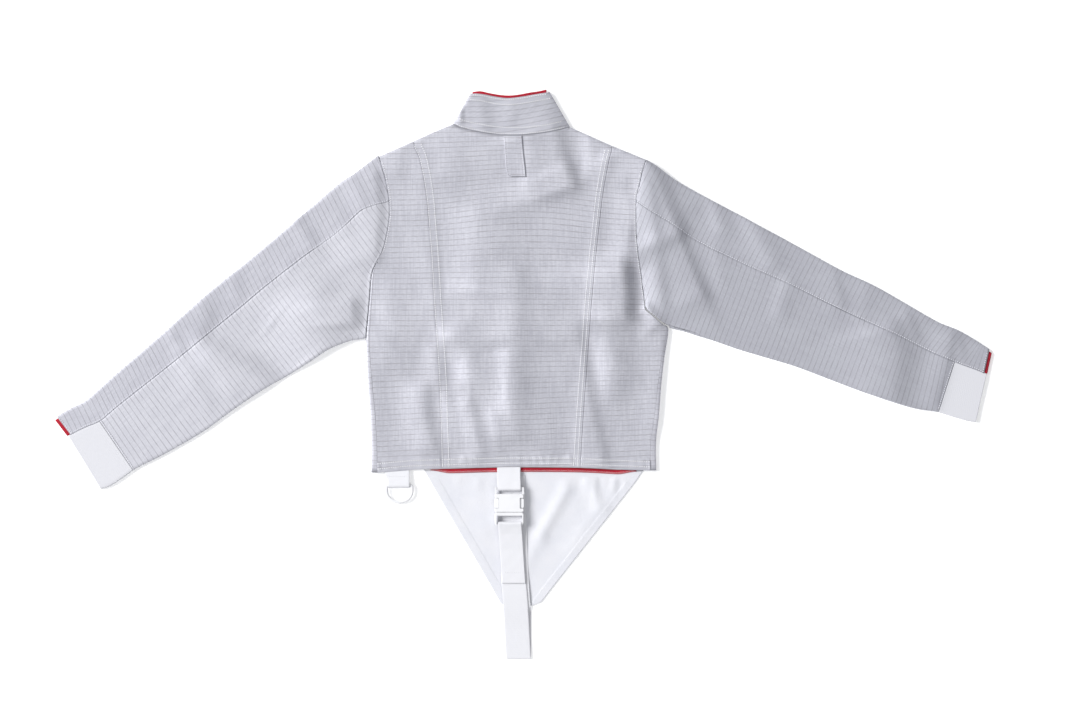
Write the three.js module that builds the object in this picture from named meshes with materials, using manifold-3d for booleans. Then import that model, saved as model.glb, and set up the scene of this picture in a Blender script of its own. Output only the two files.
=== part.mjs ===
import * as THREE from 'three';
import { mergeVertices } from 'three/addons/utils/BufferGeometryUtils.js';
import Module from 'manifold-3d';

// Fencing lame laid flat on its front, with the back side up.
// X runs across the shoulders, Y towards the collar and Z up from the surface. Millimetres.

// Driving dimensions
const WALL = 1.2;
const SEAM_GAP = 0.3;
const BACK_LEVEL = 5.2;
const FLOOR_LEVEL = WALL / 2;
const SHOULDER_TURN = 8;
const SIDE_BAND = { hem: 9.5, armhole: 3.4 };
const STRAP_WIDTH = 38;
const LAP_CENTRE = -20;
const LAP_WIDTH = 30;
const NECK_DROP = 14;
const FLAP_HEM = { width: 14, extra: 0.9 };
const RING = { left: -209.6, right: -166.4, axisY: -165.5, bottom: -193.2, wire: 5, height: 4.2, facet: 0.41 };
const BUCKLE = { x: -22.8, top: -168, bottom: -225.4, width: 43.5, low: 3.2, high: 12.2 };

// A table's rows as objects with named columns
const table = (columns, rows) => rows.map((row) => Object.fromEntries(columns.map((name, i) => [name, row[i]])));

// Body sections from hem to shoulder: the side fold and then the armhole, on each side
const BODY_ROWS = table(['share', 'leftX', 'leftY', 'rightX', 'rightY'], [
  [0.00, -230.2, -146.5, 198.0, -143.2],
  [0.09, -230.0, -103.0, 197.5, -101.0],
  [0.18, -231.6, -60.0, 202.0, -59.0],
  [0.27, -234.4, -20.0, 205.2, -17.0],
  [0.36, -236.8, 20.0, 210.0, 25.0],
  [0.43, -237.8, 55.5, 216.0, 68.0],
  [0.49, -235.4, 86.0, 207.0, 75.5],
  [0.55, -232.6, 118.0, 198.8, 82.5],
  [0.61, -229.5, 151.5, 189.5, 90.5],
  [0.66, -222.0, 170.0, 180.8, 99.0],
  [0.71, -213.5, 186.0, 178.5, 122.0],
  [0.76, -207.2, 210.0, 174.5, 153.0],
  [0.81, -203.0, 237.0, 168.5, 200.0],
  [0.86, -203.2, 261.0, 167.2, 259.5],
  [0.91, -207.0, 285.0, 171.0, 280.5],
  [0.955, -212.5, 308.0, 176.4, 304.0],
  [1.00, -218.2, 327.8, 182.2, 322.5],
]);
const UNDERARM_ROW = 5;
const SEAM_ROW = 13;
const SHOULDER_ROW = 16;
const SIDE_TOP_ROW = { left: 8, right: 5 };

// Princess seams of the back, from hem to shoulder
const SEAMS = table(['y', 'left', 'right'], [
  [-140, -123.8, 83.2],
  [-75, -125.4, 87.0],
  [-10, -127.6, 91.5],
  [52, -131.3, 96.0],
  [112, -135.4, 100.5],
  [169, -138.8, 105.8],
  [225, -143.0, 111.8],
  [270, -147.2, 117.0],
  [316, -155.2, 125.2],
  [351, -165.8, 132.6],
]);

// Hem edge of the back, from left to right
const HEM = table(['x', 'y'], [
  [-230.2, -146.5],
  [-174.8, -141.8],
  [-124.0, -140.1],
  [-44.0, -138.0],
  [0.0, -137.7],
  [83.2, -138.5],
  [140.0, -141.2],
  [198.0, -143.2],
]);

// Top line of the centre back: shoulder, neck and shoulder, with the collar's top edge over the neck
const TOP_LINE = table(['share', 'x', 'y', 'collarX', 'collarY'], [
  [0.00, -165.8, 351.0, 0, 0],
  [0.10, -140.0, 362.8, 0, 0],
  [0.22, -107.2, 376.5, -81.8, 421.5],
  [0.30, -93.8, 370.5, -71.0, 421.5],
  [0.39, -70.0, 365.0, -57.0, 419.8],
  [0.48, -45.0, 360.8, -42.0, 416.8],
  [0.57, -18.0, 359.2, -24.0, 414.8],
  [0.66, 10.0, 360.4, -3.0, 417.0],
  [0.74, 40.0, 364.6, 18.0, 420.6],
  [0.82, 68.2, 372.0, 38.2, 423.8],
  [0.91, 98.2, 358.4, 0, 0],
  [1.00, 130.5, 344.0, 0, 0],
]);
const NECK_LEFT = 2;
const NECK_RIGHT = 9;

// Sleeve sections: distance down the sleeve, and the elbow seam and the two folded edges across it
const SLEEVE_COLUMNS = ['u', 'seam', 'upper', 'lower'];
const LEFT_SECTIONS = table(SLEEVE_COLUMNS, [
  [-40, 0.0, 64.5, -152.0],
  [0, 0.0, 64.5, -151.0],
  [20, 7.8, 64.6, -150.0],
  [40, 13.6, 66.3, -149.0],
  [65, 11.6, 65.4, -148.0],
  [94, 9.7, 63.4, -146.0],
  [122, 10.2, 62.3, -144.5],
  [152, 10.9, 60.1, -142.6],
  [172, 10.8, 58.9, -132.5],
  [190, 10.7, 57.9, -126.6],
  [210, 10.3, 57.1, -122.1],
  [235, 9.8, 56.1, -120.7],
  [275, 7.7, 55.7, -117.0],
  [322, 6.3, 53.3, -111.1],
  [376, 4.1, 49.0, -107.7],
  [428, 2.8, 45.2, -106.7],
  [485, 2.0, 42.0, -100.0],
  [517, 1.2, 39.2, -94.7],
  [545, 0.0, 37.5, -89.5],
  [570, 6.2, 42.2, -88.6],
  [592, 10.2, 44.9, -87.0],
  [606, 11.0, 45.0, -82.0],
]);
const RIGHT_SECTIONS = table(SLEEVE_COLUMNS, [
  [-40, 0.0, 64.0, -152.0],
  [0, 0.0, 62.8, -151.0],
  [20, -2.8, 59.2, -150.0],
  [40, -4.4, 56.1, -149.0],
  [65, -6.5, 54.6, -148.0],
  [94, -10.4, 53.5, -147.0],
  [130, -12.4, 52.8, -145.7],
  [152, -11.8, 52.4, -141.0],
  [172, -11.4, 51.6, -138.0],
  [190, -10.9, 51.1, -135.0],
  [210, -9.9, 50.7, -132.2],
  [235, -8.4, 49.8, -129.0],
  [275, -7.1, 48.3, -122.0],
  [322, -7.0, 46.7, -113.7],
  [376, -5.7, 48.3, -108.0],
  [428, -3.9, 45.6, -102.7],
  [485, -3.3, 42.5, -94.8],
  [517, -1.7, 45.0, -88.3],
  [545, 0.8, 43.8, -79.0],
  [570, 3.8, 41.0, -75.0],
  [592, 5.0, 39.0, -70.5],
  [606, 5.0, 38.0, -66.0],
]);
const SLEEVE_STATIONS = [0, 20, 45, 80, 120, 165, 210, 255, 300, 350, 400, 450, 500, 545, 568, 592];
const CUFF_STATION = 13;
const CUFF_END = 596;
const SLEEVES = {
  left: {
    origin: [-203.2, 261.0],
    along: [-0.7957, -0.6057],
    across: [-0.6057, 0.7957],
    sections: LEFT_SECTIONS,
    seamSkew: 0.5,
    cuffSkew: 5,
    wristSkew: { upper: 0.7, lower: 10 },
    edging: 3.6,
    frontSeamRow: 6,
  },
  right: {
    origin: [167.2, 259.5],
    along: [0.8938, -0.4484],
    across: [0.4484, 0.8938],
    sections: RIGHT_SECTIONS,
    seamSkew: -10,
    cuffSkew: 2,
    wristSkew: { upper: -19, lower: 8 },
    edging: 2.4,
    frontSeamRow: 8,
  },
};
const HEAD_REACH = 230;

// Soft folds of the upper cloth layer: a ridge, or a trough where the rise is negative
const FOLDS = table(['x0', 'y0', 'x1', 'y1', 'width', 'rise'], [
  [-89, 240, -92, 100, 16, 2.6],
  [-102, 60, -108, -40, 13, 2.2],
  [-40, 10, -34, -70, 16, 2.0],
  [10, 150, 38, 40, 18, -0.8],
  [60, 190, 66, 60, 16, 1.6],
  [112, 80, 126, -60, 11, 2.8],
  [150, 170, 156, 70, 12, -1.6],
  [182, 60, 190, -30, 9, 1.8],
  [-187, 70, -190, -100, 10, 2.4],
  [-156, 130, -158, -70, 9, 1.8],
  [-180, 300, -170, 200, 16, 2.0],
  [-23, -118, -23, -150, 26, 1.8],
  [-191, -120, -191, -150, 22, 1.0],
  [-19, 335, -19, -108, 34, 1.7],
  [331, 240, 360, 150, 18, 3.6],
  [262, 250, 292, 100, 15, -1.4],
  [430, 150, 448, 60, 14, 2.0],
  [571, 66, 565, -40, 13, -1.4],
  [602, 30, 604, -44, 13, 3.0],
  [230, 130, 300, 90, 16, 2.4],
  [-252, 290, -236, 190, 13, -1.4],
  [-280, 250, -300, 110, 20, 2.6],
  [-370, 90, -400, -10, 22, 3.4],
  [-420, 40, -440, -40, 12, -1.2],
  [-520, -30, -560, -110, 16, 2.4],
  [-600, -110, -612, -140, 14, 2.6],
  [-262, 100, -246, 78, 16, -2.2],
]);

// Colours of the finishes
const LAME = { color: 0xc8c8d2, roughness: 0.45, metalness: 0.35 };
const WHITE_CLOTH = { color: 0xf1f1f6, roughness: 0.9, metalness: 0 };
const WEBBING = { color: 0xf3f3f7, roughness: 0.85, metalness: 0 };
const ELASTIC = { color: 0xebebf0, roughness: 0.85, metalness: 0 };
const RED_CLOTH = { color: 0xc01c2c, roughness: 0.85, metalness: 0 };
const WHITE_PLASTIC = { color: 0xfbfbfc, roughness: 0.35, metalness: 0 };
const FASTENER = { color: 0xe6e6ea, roughness: 0.95, metalness: 0 };

const group = new THREE.Group();

function add(name, finish, geometry) {
  const mesh = new THREE.Mesh(geometry, new THREE.MeshStandardMaterial(finish));
  mesh.name = name;
  group.add(mesh);
  return mesh;
}

// Arithmetic on plan points [x, y]
const mix = (a, b, t) => a + (b - a) * t;
const clamp01 = (t) => Math.min(1, Math.max(0, t));
const smooth = (t) => clamp01(t) ** 2 * (3 - 2 * clamp01(t));
const plan = (row, xName = 'x', yName = 'y') => [row[xName], row[yName]];
const mixPoint = (a, b, t) => [mix(a[0], b[0], t), mix(a[1], b[1], t)];

function towards(from, to, distance) {
  const length = Math.hypot(to[0] - from[0], to[1] - from[1]);
  return mixPoint(from, to, distance / length);
}

// Smooth function through one column of a table
function curve(rows, key, column) {
  const slope = (i) => {
    const a = rows[Math.max(0, i - 1)];
    const b = rows[Math.min(rows.length - 1, i + 1)];
    return (b[column] - a[column]) / (b[key] - a[key]);
  };
  return (at) => {
    const last = rows.length - 2;
    const found = rows.findIndex((row, i) => i > 0 && at <= row[key]) - 1;
    const i = found < 0 ? (at < rows[0][key] ? 0 : last) : found;
    const span = rows[i + 1][key] - rows[i][key];
    const t = clamp01((at - rows[i][key]) / span);
    const start = rows[i][column] * (1 + 2 * t) * (1 - t) ** 2 + slope(i) * span * t * (1 - t) ** 2;
    const end = rows[i + 1][column] * t * t * (3 - 2 * t) + slope(i + 1) * span * t * t * (t - 1);
    return start + end;
  };
}

const hemY = curve(HEM, 'x', 'y');
const seamX = { left: curve(SEAMS, 'y', 'left'), right: curve(SEAMS, 'y', 'right') };

// Height of the upper layer's middle over a plan point
function clothLevel([x, y]) {
  return FOLDS.reduce((level, fold) => {
    const [dx, dy] = [fold.x1 - fold.x0, fold.y1 - fold.y0];
    const length = Math.hypot(dx, dy);
    const along = ((x - fold.x0) * dx + (y - fold.y0) * dy) / length;
    const aside = ((x - fold.x0) * dy - (y - fold.y0) * dx) / length;
    const past = Math.max(0, -along, along - length);
    return level + fold.rise * Math.exp(-((aside / fold.width) ** 2) - (past / (2 * fold.width)) ** 2);
  }, BACK_LEVEL);
}

const lifted = (point) => new THREE.Vector3(point[0], point[1], clothLevel(point));
const onFloor = (point, level = FLOOR_LEVEL) => new THREE.Vector3(point[0], point[1], level);

// Closed wall on a grid of middle points; cells may be left out at the grid's corners
function shell(name, finish, grid, { wall = WALL, present = () => true } = {}) {
  const rows = grid.length;
  const columns = grid[0].length;
  const has = (i, j) => i >= 0 && j >= 0 && i < rows - 1 && j < columns - 1 && present(i, j);
  const normal = (i, j) => {
    const sum = new THREE.Vector3();
    for (const [a, b] of [[i - 1, j - 1], [i - 1, j], [i, j - 1], [i, j]]) {
      if (!has(a, b)) continue;
      const diagonal = new THREE.Vector3().subVectors(grid[a + 1][b + 1], grid[a][b]);
      const other = new THREE.Vector3().subVectors(grid[a + 1][b], grid[a][b + 1]);
      sum.add(diagonal.cross(other).normalize());
    }
    return sum.normalize();
  };
  const positions = [];
  const indices = [];
  const known = new Map();
  const vertex = (i, j, side) => {
    const key = `${i},${j},${side}`;
    if (!known.has(key)) {
      const thickness = typeof wall === 'function' ? wall(i, j) : wall;
      const point = normal(i, j).multiplyScalar((side * thickness) / 2).add(grid[i][j]);
      known.set(key, positions.length / 3);
      positions.push(point.x, point.y, point.z);
    }
    return known.get(key);
  };
  const quad = (a, b, c, d) => indices.push(a, b, c, a, c, d);
  for (let i = 0; i < rows - 1; i++) {
    for (let j = 0; j < columns - 1; j++) {
      if (!has(i, j)) continue;
      const [p, q, r, s] = [[i, j], [i, j + 1], [i + 1, j + 1], [i + 1, j]];
      const outer = [p, q, r, s].map(([a, b]) => vertex(a, b, 1));
      const inner = [p, q, r, s].map(([a, b]) => vertex(a, b, -1));
      quad(...outer);
      quad(inner[3], inner[2], inner[1], inner[0]);
      if (!has(i - 1, j)) quad(inner[0], inner[1], outer[1], outer[0]);
      if (!has(i + 1, j)) quad(outer[3], outer[2], inner[2], inner[3]);
      if (!has(i, j - 1)) quad(outer[0], outer[3], inner[3], inner[0]);
      if (!has(i, j + 1)) quad(inner[1], inner[2], outer[2], outer[1]);
    }
  }
  const geometry = new THREE.BufferGeometry();
  geometry.setAttribute('position', new THREE.Float32BufferAttribute(positions, 3));
  geometry.setIndex(indices);
  return add(name, finish, geometry);
}

// Moves an edge line of a grid inwards by half the seam gap
function insetLine(edge, inside, distance = SEAM_GAP / 2) {
  const moved = edge.map((point, i) => {
    const a = edge[Math.max(0, i - 1)];
    const b = edge[Math.min(edge.length - 1, i + 1)];
    const tangent = new THREE.Vector3().subVectors(b, a).normalize();
    const inward = new THREE.Vector3().subVectors(inside[i], point);
    inward.addScaledVector(tangent, -inward.dot(tangent)).normalize();
    return point.clone().addScaledVector(inward, distance);
  });
  edge.forEach((point, i) => point.copy(moved[i]));
}

const column = (grid, j) => grid.map((row) => row[j]);

// Plan grid between four edges: rows run from bottom to top, columns from left to right
function patch(left, right, bottom, top) {
  return left.map((a, i) => bottom.map((below, j) => {
    const s = j / (bottom.length - 1);
    const t = i / (left.length - 1);
    const value = (axis) => {
      const sides = mix(a[axis], right[i][axis], s);
      const ends = mix(below[axis], top[j][axis], t);
      const low = mix(bottom[0][axis], bottom[bottom.length - 1][axis], s);
      const high = mix(top[0][axis], top[top.length - 1][axis], s);
      return sides + ends - mix(low, high, t);
    };
    return [value(0), value(1)];
  }));
}

// Points of a rolled edge, from the upper layer round to the lower one and along it
const ROLL_ANGLES = [0, 45, 90, 135, 180].map((angle) => THREE.MathUtils.degToRad(angle));
function rolledEdge(edge, inside, strips = []) {
  const radius = (clothLevel(edge) - FLOOR_LEVEL) / 2;
  const centre = FLOOR_LEVEL + radius;
  const round = ROLL_ANGLES.map((angle) => {
    const point = towards(edge, inside, WALL / 2 + radius * (1 - Math.sin(angle)));
    return onFloor(point, centre + radius * Math.cos(angle));
  });
  return [...round, ...strips.map((distance) => onFloor(towards(edge, inside, WALL / 2 + radius + distance)))];
}

const spread = (count) => Array.from({ length: count + 1 }, (_, i) => i / count);

// Side fold or armhole point of a body row
const sidePoint = (side, i) => plan(BODY_ROWS[i], `${side}X`, `${side}Y`);
const SEAM_TOP = { left: TOP_LINE[0].y, right: TOP_LINE[TOP_LINE.length - 1].y };

function seamLine(side) {
  const foot = hemY(seamX[side](-140));
  return BODY_ROWS.map(({ share }, i) => {
    const y = mix(foot, SEAM_TOP[side], share);
    const end = side === 'left' ? TOP_LINE[0] : TOP_LINE[TOP_LINE.length - 1];
    return i === SHOULDER_ROW ? plan(end) : [seamX[side](y), y];
  });
}

// Adds the rows that roll a panel's top edge over the shoulder to the underside
function overShoulder(grid) {
  const last = grid[SHOULDER_ROW];
  const before = grid[SHOULDER_ROW - 1];
  const lines = last.map((edge, j) => rolledEdge(edge, before[j], [SHOULDER_TURN]));
  return lines[0].map((_, i) => lines.map((line) => line[i]));
}

function backCentre() {
  const left = seamLine('left');
  const right = seamLine('right');
  const top = TOP_LINE.map((row) => plan(row));
  const bottom = TOP_LINE.map(({ share }) => {
    const x = mix(left[0][0], right[0][0], share);
    return [x, hemY(x)];
  });
  const flat = patch(left, right, bottom, top);
  const isNeck = (j) => j > NECK_LEFT && j < NECK_RIGHT;
  const over = overShoulder(flat);
  const grid = flat.map((row) => row.map(lifted));
  over[0].forEach((point, j) => {
    if (!isNeck(j) && j !== NECK_LEFT && j !== NECK_RIGHT) grid[SHOULDER_ROW][j] = point;
  });
  [NECK_LEFT, NECK_RIGHT].forEach((j) => { grid[SHOULDER_ROW][j] = over[0][j]; });
  const whole = [...grid, ...over.slice(1)];
  insetLine(column(whole, 0), column(whole, 1));
  insetLine(column(whole, top.length - 1), column(whole, top.length - 2));
  const neck = whole[SHOULDER_ROW].slice(NECK_LEFT, NECK_RIGHT + 1);
  insetLine(neck, whole[SHOULDER_ROW - 1].slice(NECK_LEFT, NECK_RIGHT + 1));
  const present = (i, j) => i < SHOULDER_ROW || j < NECK_LEFT || j >= NECK_RIGHT;
  shell('back_centre', LAME, whole, { present });
  return flat;
}

function bandWidth(side, i) {
  const t = i / SIDE_TOP_ROW[side];
  return mix(SIDE_BAND.hem, SIDE_BAND.armhole, clamp01(t));
}

function backSide(side) {
  const sign = side === 'left' ? 1 : -1;
  const seam = seamLine(side);
  const edge = BODY_ROWS.map((_, i) => {
    const [x, y] = sidePoint(side, i);
    return i <= SIDE_TOP_ROW[side] ? [x + sign * bandWidth(side, i), y] : [x, y];
  });
  const shares = spread(6);
  const corner = sidePoint(side, SHOULDER_ROW);
  const bottom = shares.map((share) => {
    const x = mix(edge[0][0], seam[0][0], share);
    return [x, hemY(x)];
  });
  const top = shares.map((share) => mixPoint(corner, seam[SHOULDER_ROW], share));
  const flat = patch(edge, seam, bottom, top);
  const over = overShoulder(flat);
  const whole = [...flat.slice(0, SHOULDER_ROW).map((row) => row.map(lifted)), ...over];
  insetLine(column(whole, 0), column(whole, 1));
  insetLine(column(whole, 6), column(whole, 5));
  shell(`back_side_${side}`, LAME, whole);
}

// Columns of the fronts between the side and the lapped edge: shares along the neckline, places on the hem
const FRONT_COLUMNS = {
  left: { neck: [0.19, 0.37, 0.553], hem: [-170, -124, -85, -55, -22] },
  right: { neck: [0.85, 0.7, 0.645], hem: [130, 83, 45, 9, -4] },
};

// Tapes that hold the lapped fronts, and the level of the front that lies on them
const TAPE = { thickness: 1, width: LAP_WIDTH - 6, from: -96, to: 336, bottom: -118, top: 4.7 };

// Front neckline on the underside, lower than the back one by the neck drop
function frontNeck(share) {
  const scaled = mix(NECK_LEFT, NECK_RIGHT, share);
  const i = Math.min(NECK_RIGHT - 1, Math.floor(scaled));
  const [x, y] = mixPoint(plan(TOP_LINE[i]), plan(TOP_LINE[i + 1]), scaled - i);
  return [x, y - NECK_DROP * Math.sin(Math.PI * share) ** 0.6];
}

function front(side) {
  const sign = side === 'left' ? 1 : -1;
  const lapEdge = LAP_CENTRE + (sign * LAP_WIDTH) / 2;
  const cornerIndex = side === 'left' ? NECK_LEFT : NECK_RIGHT;
  const neckCorner = plan(TOP_LINE[cornerIndex]);
  const turn = (point) => SHOULDER_TURN + (clothLevel(point) - FLOOR_LEVEL) / 2 + WALL / 2 + 2 * SEAM_GAP;
  const corner = sidePoint(side, SHOULDER_ROW);
  const armholeTop = towards(corner, sidePoint(side, SHOULDER_ROW - 1), turn(corner));
  const seam = seamLine(side);
  const seamTop = towards(seam[SHOULDER_ROW], seam[SHOULDER_ROW - 1], turn(seam[SHOULDER_ROW]) + 1);
  const neckFoot = [neckCorner[0] + sign * 0.8, neckCorner[1] - turn(neckCorner) - 1];
  const outer = BODY_ROWS.map((_, i) => (i === SHOULDER_ROW ? armholeTop : sidePoint(side, i)));
  const columns = FRONT_COLUMNS[side];
  const lapTop = frontNeck(side === 'left' ? 0.637 : 0.46)[1] - 1;
  const top = [armholeTop, seamTop, neckFoot, ...columns.neck.map(frontNeck), [lapEdge, lapTop]];
  const inner = BODY_ROWS.map(({ share }) => [lapEdge, mix(hemY(lapEdge), lapTop, share)]);
  const bottom = [outer[0][0], ...columns.hem, lapEdge].map((x) => [x, hemY(x)]);
  const flat = patch(outer, inner, bottom, top);
  const isLapped = (j) => side === 'right' && j >= top.length - 2;
  const level = ([, y], j) => {
    if (!isLapped(j)) return FLOOR_LEVEL;
    return y < TAPE.bottom ? FLOOR_LEVEL + WALL + SEAM_GAP : TAPE.top;
  };
  const lastSideRow = SIDE_TOP_ROW[side];
  const grid = flat.map((row, i) => {
    const body = row.map((point, j) => onFloor(point, level(point, j)));
    const edge = [row[0][0] + (sign * SEAM_GAP) / 2, row[0][1]];
    const rolled = rolledEdge(edge, [edge[0] + sign, edge[1]]);
    const band = lifted([edge[0] + sign * (bandWidth(side, Math.min(i, lastSideRow)) - SEAM_GAP), edge[1]]);
    if (i <= lastSideRow) body[0] = rolled[rolled.length - 1];
    return [band, ...rolled.slice(0, -1), ...body];
  });
  const rollCount = ROLL_ANGLES.length;
  const armhole = grid.slice(lastSideRow + 1);
  insetLine(column(armhole, rollCount), column(armhole, rollCount + 1), SEAM_GAP);
  insetLine(grid[SHOULDER_ROW].slice(rollCount + 2), grid[SHOULDER_ROW - 1].slice(rollCount + 2));
  const present = (i, j) => j >= rollCount || i < lastSideRow;
  shell(`front_${side}`, LAME, grid, { present });
}

// Hook and loop tapes between the lapped fronts
function frontTapes() {
  const tapes = table(['name', 'layer'], [['front_tape_loop', 1], ['front_tape_hook', 2]]);
  const { thickness, width, from, to } = TAPE;
  for (const { name, layer } of tapes) {
    const level = WALL + SEAM_GAP * layer + thickness * (layer - 0.5);
    const aside = [LAP_CENTRE - width / 2, LAP_CENTRE + width / 2];
    const grid = [from, to].map((y) => aside.map((x) => onFloor([x, y], level)));
    shell(name, FASTENER, grid, { wall: thickness });
  }
}

function collar() {
  const neck = TOP_LINE.slice(NECK_LEFT, NECK_RIGHT + 1);
  const gapUp = ([x, y]) => [x, y + SEAM_GAP];
  const levels = spread(3);
  const point = (row, t) => gapUp(mixPoint(plan(row), plan(row, 'collarX', 'collarY'), t));
  const underShares = { left: [0.553, 0.37, 0.19], right: [0.85, 0.7, 0.57] };
  const under = (share, t) => {
    const scaled = share * (neck.length - 1);
    const i = Math.min(neck.length - 2, Math.floor(scaled));
    const upper = mixPoint(plan(neck[i], 'collarX', 'collarY'), plan(neck[i + 1], 'collarX', 'collarY'), scaled - i);
    return onFloor(gapUp(mixPoint(frontNeck(share), [upper[0], upper[1] - 3], t)));
  };
  const grid = levels.map((t) => {
    const across = neck.map((row) => point(row, t));
    const last = across.length - 1;
    const rollLeft = rolledEdge(across[0], across[1]).reverse();
    const rollRight = rolledEdge(across[last], across[last - 1]);
    return [
      ...underShares.left.map((share) => under(share, t)),
      ...rollLeft,
      ...across.slice(1, last).map(lifted),
      ...rollRight,
      ...underShares.right.map((share) => under(share, t)),
    ];
  });
  shell('collar', LAME, grid);
}

// Red facing between the collar's two layers, showing above its top edge
const FACING = table(['x', 'top', 'rise'], [
  [-78, 421.2, 2.6],
  [-66, 420.8, 5.0],
  [-52, 418.6, 3.2],
  [-37, 416.4, 2.4],
  [-22, 415.2, 2.8],
  [-7, 416.8, 2.8],
  [8, 419.0, 4.2],
  [23, 421.6, 3.4],
  [33, 423.2, 5.2],
]);
function collarFacing() {
  const level = BACK_LEVEL - WALL - SEAM_GAP;
  const grid = [-14, -1, 1].map((step, i) => FACING.map(({ x, top, rise }) => {
    return onFloor([x, top + (i === 2 ? rise : step)], Math.min(level, clothLevel([x, top]) - WALL - SEAM_GAP));
  }));
  shell('collar_facing', RED_CLOTH, grid);
}

// Hanging tab over the centre back, sewn in the collar seam
const TAB = table(['y', 'left', 'right'], [
  [297.0, -20.5, 1.8],
  [299.5, -24.6, 1.6],
  [306.0, -27.2, 1.0],
  [325.0, -28.8, -1.2],
  [342.0, -30.0, -3.0],
  [358.2, -30.8, -4.4],
]);
function neckTab() {
  const thickness = 1.6;
  const lift = WALL / 2 + SEAM_GAP + thickness / 2;
  const grid = TAB.map(({ y, left, right }) => spread(2).map((share) => {
    const point = [mix(left, right, share), y];
    return onFloor(point, clothLevel(point) + lift);
  }));
  shell('neck_tab', LAME, grid, { wall: thickness });
}

// Lines down the sleeve start at the armhole's points and end at the wrist
function sleeveLines(side) {
  const { origin, along, across, sections, seamSkew, cuffSkew, wristSkew } = SLEEVES[side];
  const seam = curve(sections, 'u', 'seam');
  const upper = curve(sections, 'u', 'upper');
  const lower = curve(sections, 'u', 'lower');
  const rows = [];
  for (let i = SHOULDER_ROW; i >= UNDERARM_ROW; i--) rows.push(i);
  const lines = rows.map((i) => {
    const [x, y] = sidePoint(side, i);
    const [dx, dy] = [x - origin[0], y - origin[1]];
    const u = dx * along[0] + dy * along[1];
    const w = dx * across[0] + dy * across[1];
    const isUpper = i >= SEAM_ROW;
    const edge = isUpper ? upper : lower;
    return { u, share: (w - seam(u)) / (edge(u) - seam(u)), isUpper };
  });
  lines[0].share = 1;
  lines[lines.length - 1].share = 1;
  const point = (k, station) => {
    const { u: start, share, isUpper } = lines[k];
    const head = start * smooth(1 - station / HEAD_REACH);
    const atCuff = smooth((station - 400) / 145);
    const atWrist = smooth((station - 545) / 47);
    const edgeSkew = isUpper ? wristSkew.upper * atWrist : mix(cuffSkew, wristSkew.lower, atWrist) * atCuff;
    const skew = mix(seamSkew * atCuff, edgeSkew, share);
    const u = Math.max(station, 0) + head + skew;
    const edge = isUpper ? upper : lower;
    const w = mix(seam(u), edge(u), share);
    return [origin[0] + along[0] * u + across[0] * w, origin[1] + along[1] * u + across[1] * w];
  };
  return { count: lines.length, point, seamLine: SHOULDER_ROW - SEAM_ROW, lines };
}

function sleeve(side) {
  const { count, point, seamLine: seamAt } = sleeveLines(side);
  const last = count - 1;
  const frontSeam = last - (SLEEVES[side].frontSeamRow - UNDERARM_ROW);
  const ks = (from, to) => {
    return Array.from({ length: Math.abs(to - from) + 1 }, (_, i) => from + Math.sign(to - from) * i);
  };
  const topRow = (station) => {
    const at = (k) => point(k, station);
    const rolled = rolledEdge(at(0), at(1)).reverse();
    const beneath = ks(frontSeam, 1).map((k) => onFloor(at(k)));
    return [...beneath, ...rolled, ...ks(1, seamAt).map((k) => lifted(at(k)))];
  };
  const underRow = (station) => {
    const at = (k) => point(k, station);
    const rolled = rolledEdge(at(last), at(last - 1));
    return [...ks(seamAt, last - 1).map((k) => lifted(at(k))), ...rolled, ...ks(last - 1, frontSeam).map((k) => onFloor(at(k)))];
  };
  const finish = (name, colour, grid) => {
    const end = grid[0].length - 1;
    insetLine(column(grid, 0), column(grid, 1));
    insetLine(column(grid, end), column(grid, end - 1));
    insetLine(grid[0], grid[1], SEAM_GAP);
    insetLine(grid[grid.length - 1], grid[grid.length - 2]);
    shell(name, colour, grid);
  };
  finish(`${side}_top_sleeve`, LAME, SLEEVE_STATIONS.map(topRow));
  finish(`${side}_under_sleeve`, LAME, SLEEVE_STATIONS.slice(0, CUFF_STATION + 1).map(underRow));
  finish(`${side}_cuff_elastic`, ELASTIC, [...SLEEVE_STATIONS.slice(CUFF_STATION), CUFF_END].map(underRow));

  const wrist = SLEEVE_STATIONS[SLEEVE_STATIONS.length - 1];
  const edgingGrid = [wrist - 11, wrist + SLEEVES[side].edging].map((station) => {
    const [a, b] = [point(seamAt, station), point(0, station)];
    const length = Math.hypot(b[0] - a[0], b[1] - a[1]);
    return [1, length / 2, length - 3.4].map((distance) => {
      const spot = towards(a, b, distance);
      return onFloor(spot, clothLevel(spot) - WALL - SEAM_GAP);
    });
  });
  shell(`${side}_cuff_binding`, RED_CLOTH, edgingGrid);
}

// Flap of the fronts, inner side up: its sections from the tip to the hem
const FLAP = table(['y', 'left', 'right'], [
  [-346.2, -31.0, 12.0],
  [-341.0, -36.8, 25.0],
  [-310.0, -54.5, 49.0],
  [-270.0, -77.7, 80.5],
  [-230.0, -101.0, 112.0],
  [-190.0, -124.3, 143.5],
  [-160.0, -141.5, 167.0],
  [-152.0, -146.0, 172.5],
  [-142.0, -151.5, 179.5],
]);
const GATHERS = table(['x', 'depth', 'width', 'rise'], [
  [92, 38, 4.5, 1.2],
  [106, 50, 4.0, 1.6],
  [121, 30, 4.0, 1.3],
  [135, 44, 4.5, 1.8],
  [150, 26, 4.0, 1.2],
  [-70, 24, 5.0, 0.9],
  [-100, 20, 5.0, 0.9],
]);
const FLAP_FOLDS = table(['x0', 'y0', 'x1', 'y1', 'width', 'rise'], [
  [62, -172, 26, -238, 11, 2.6],
  [98, -160, 112, -195, 9, 1.8],
]);
const FLAP_CALM = -152;
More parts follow.
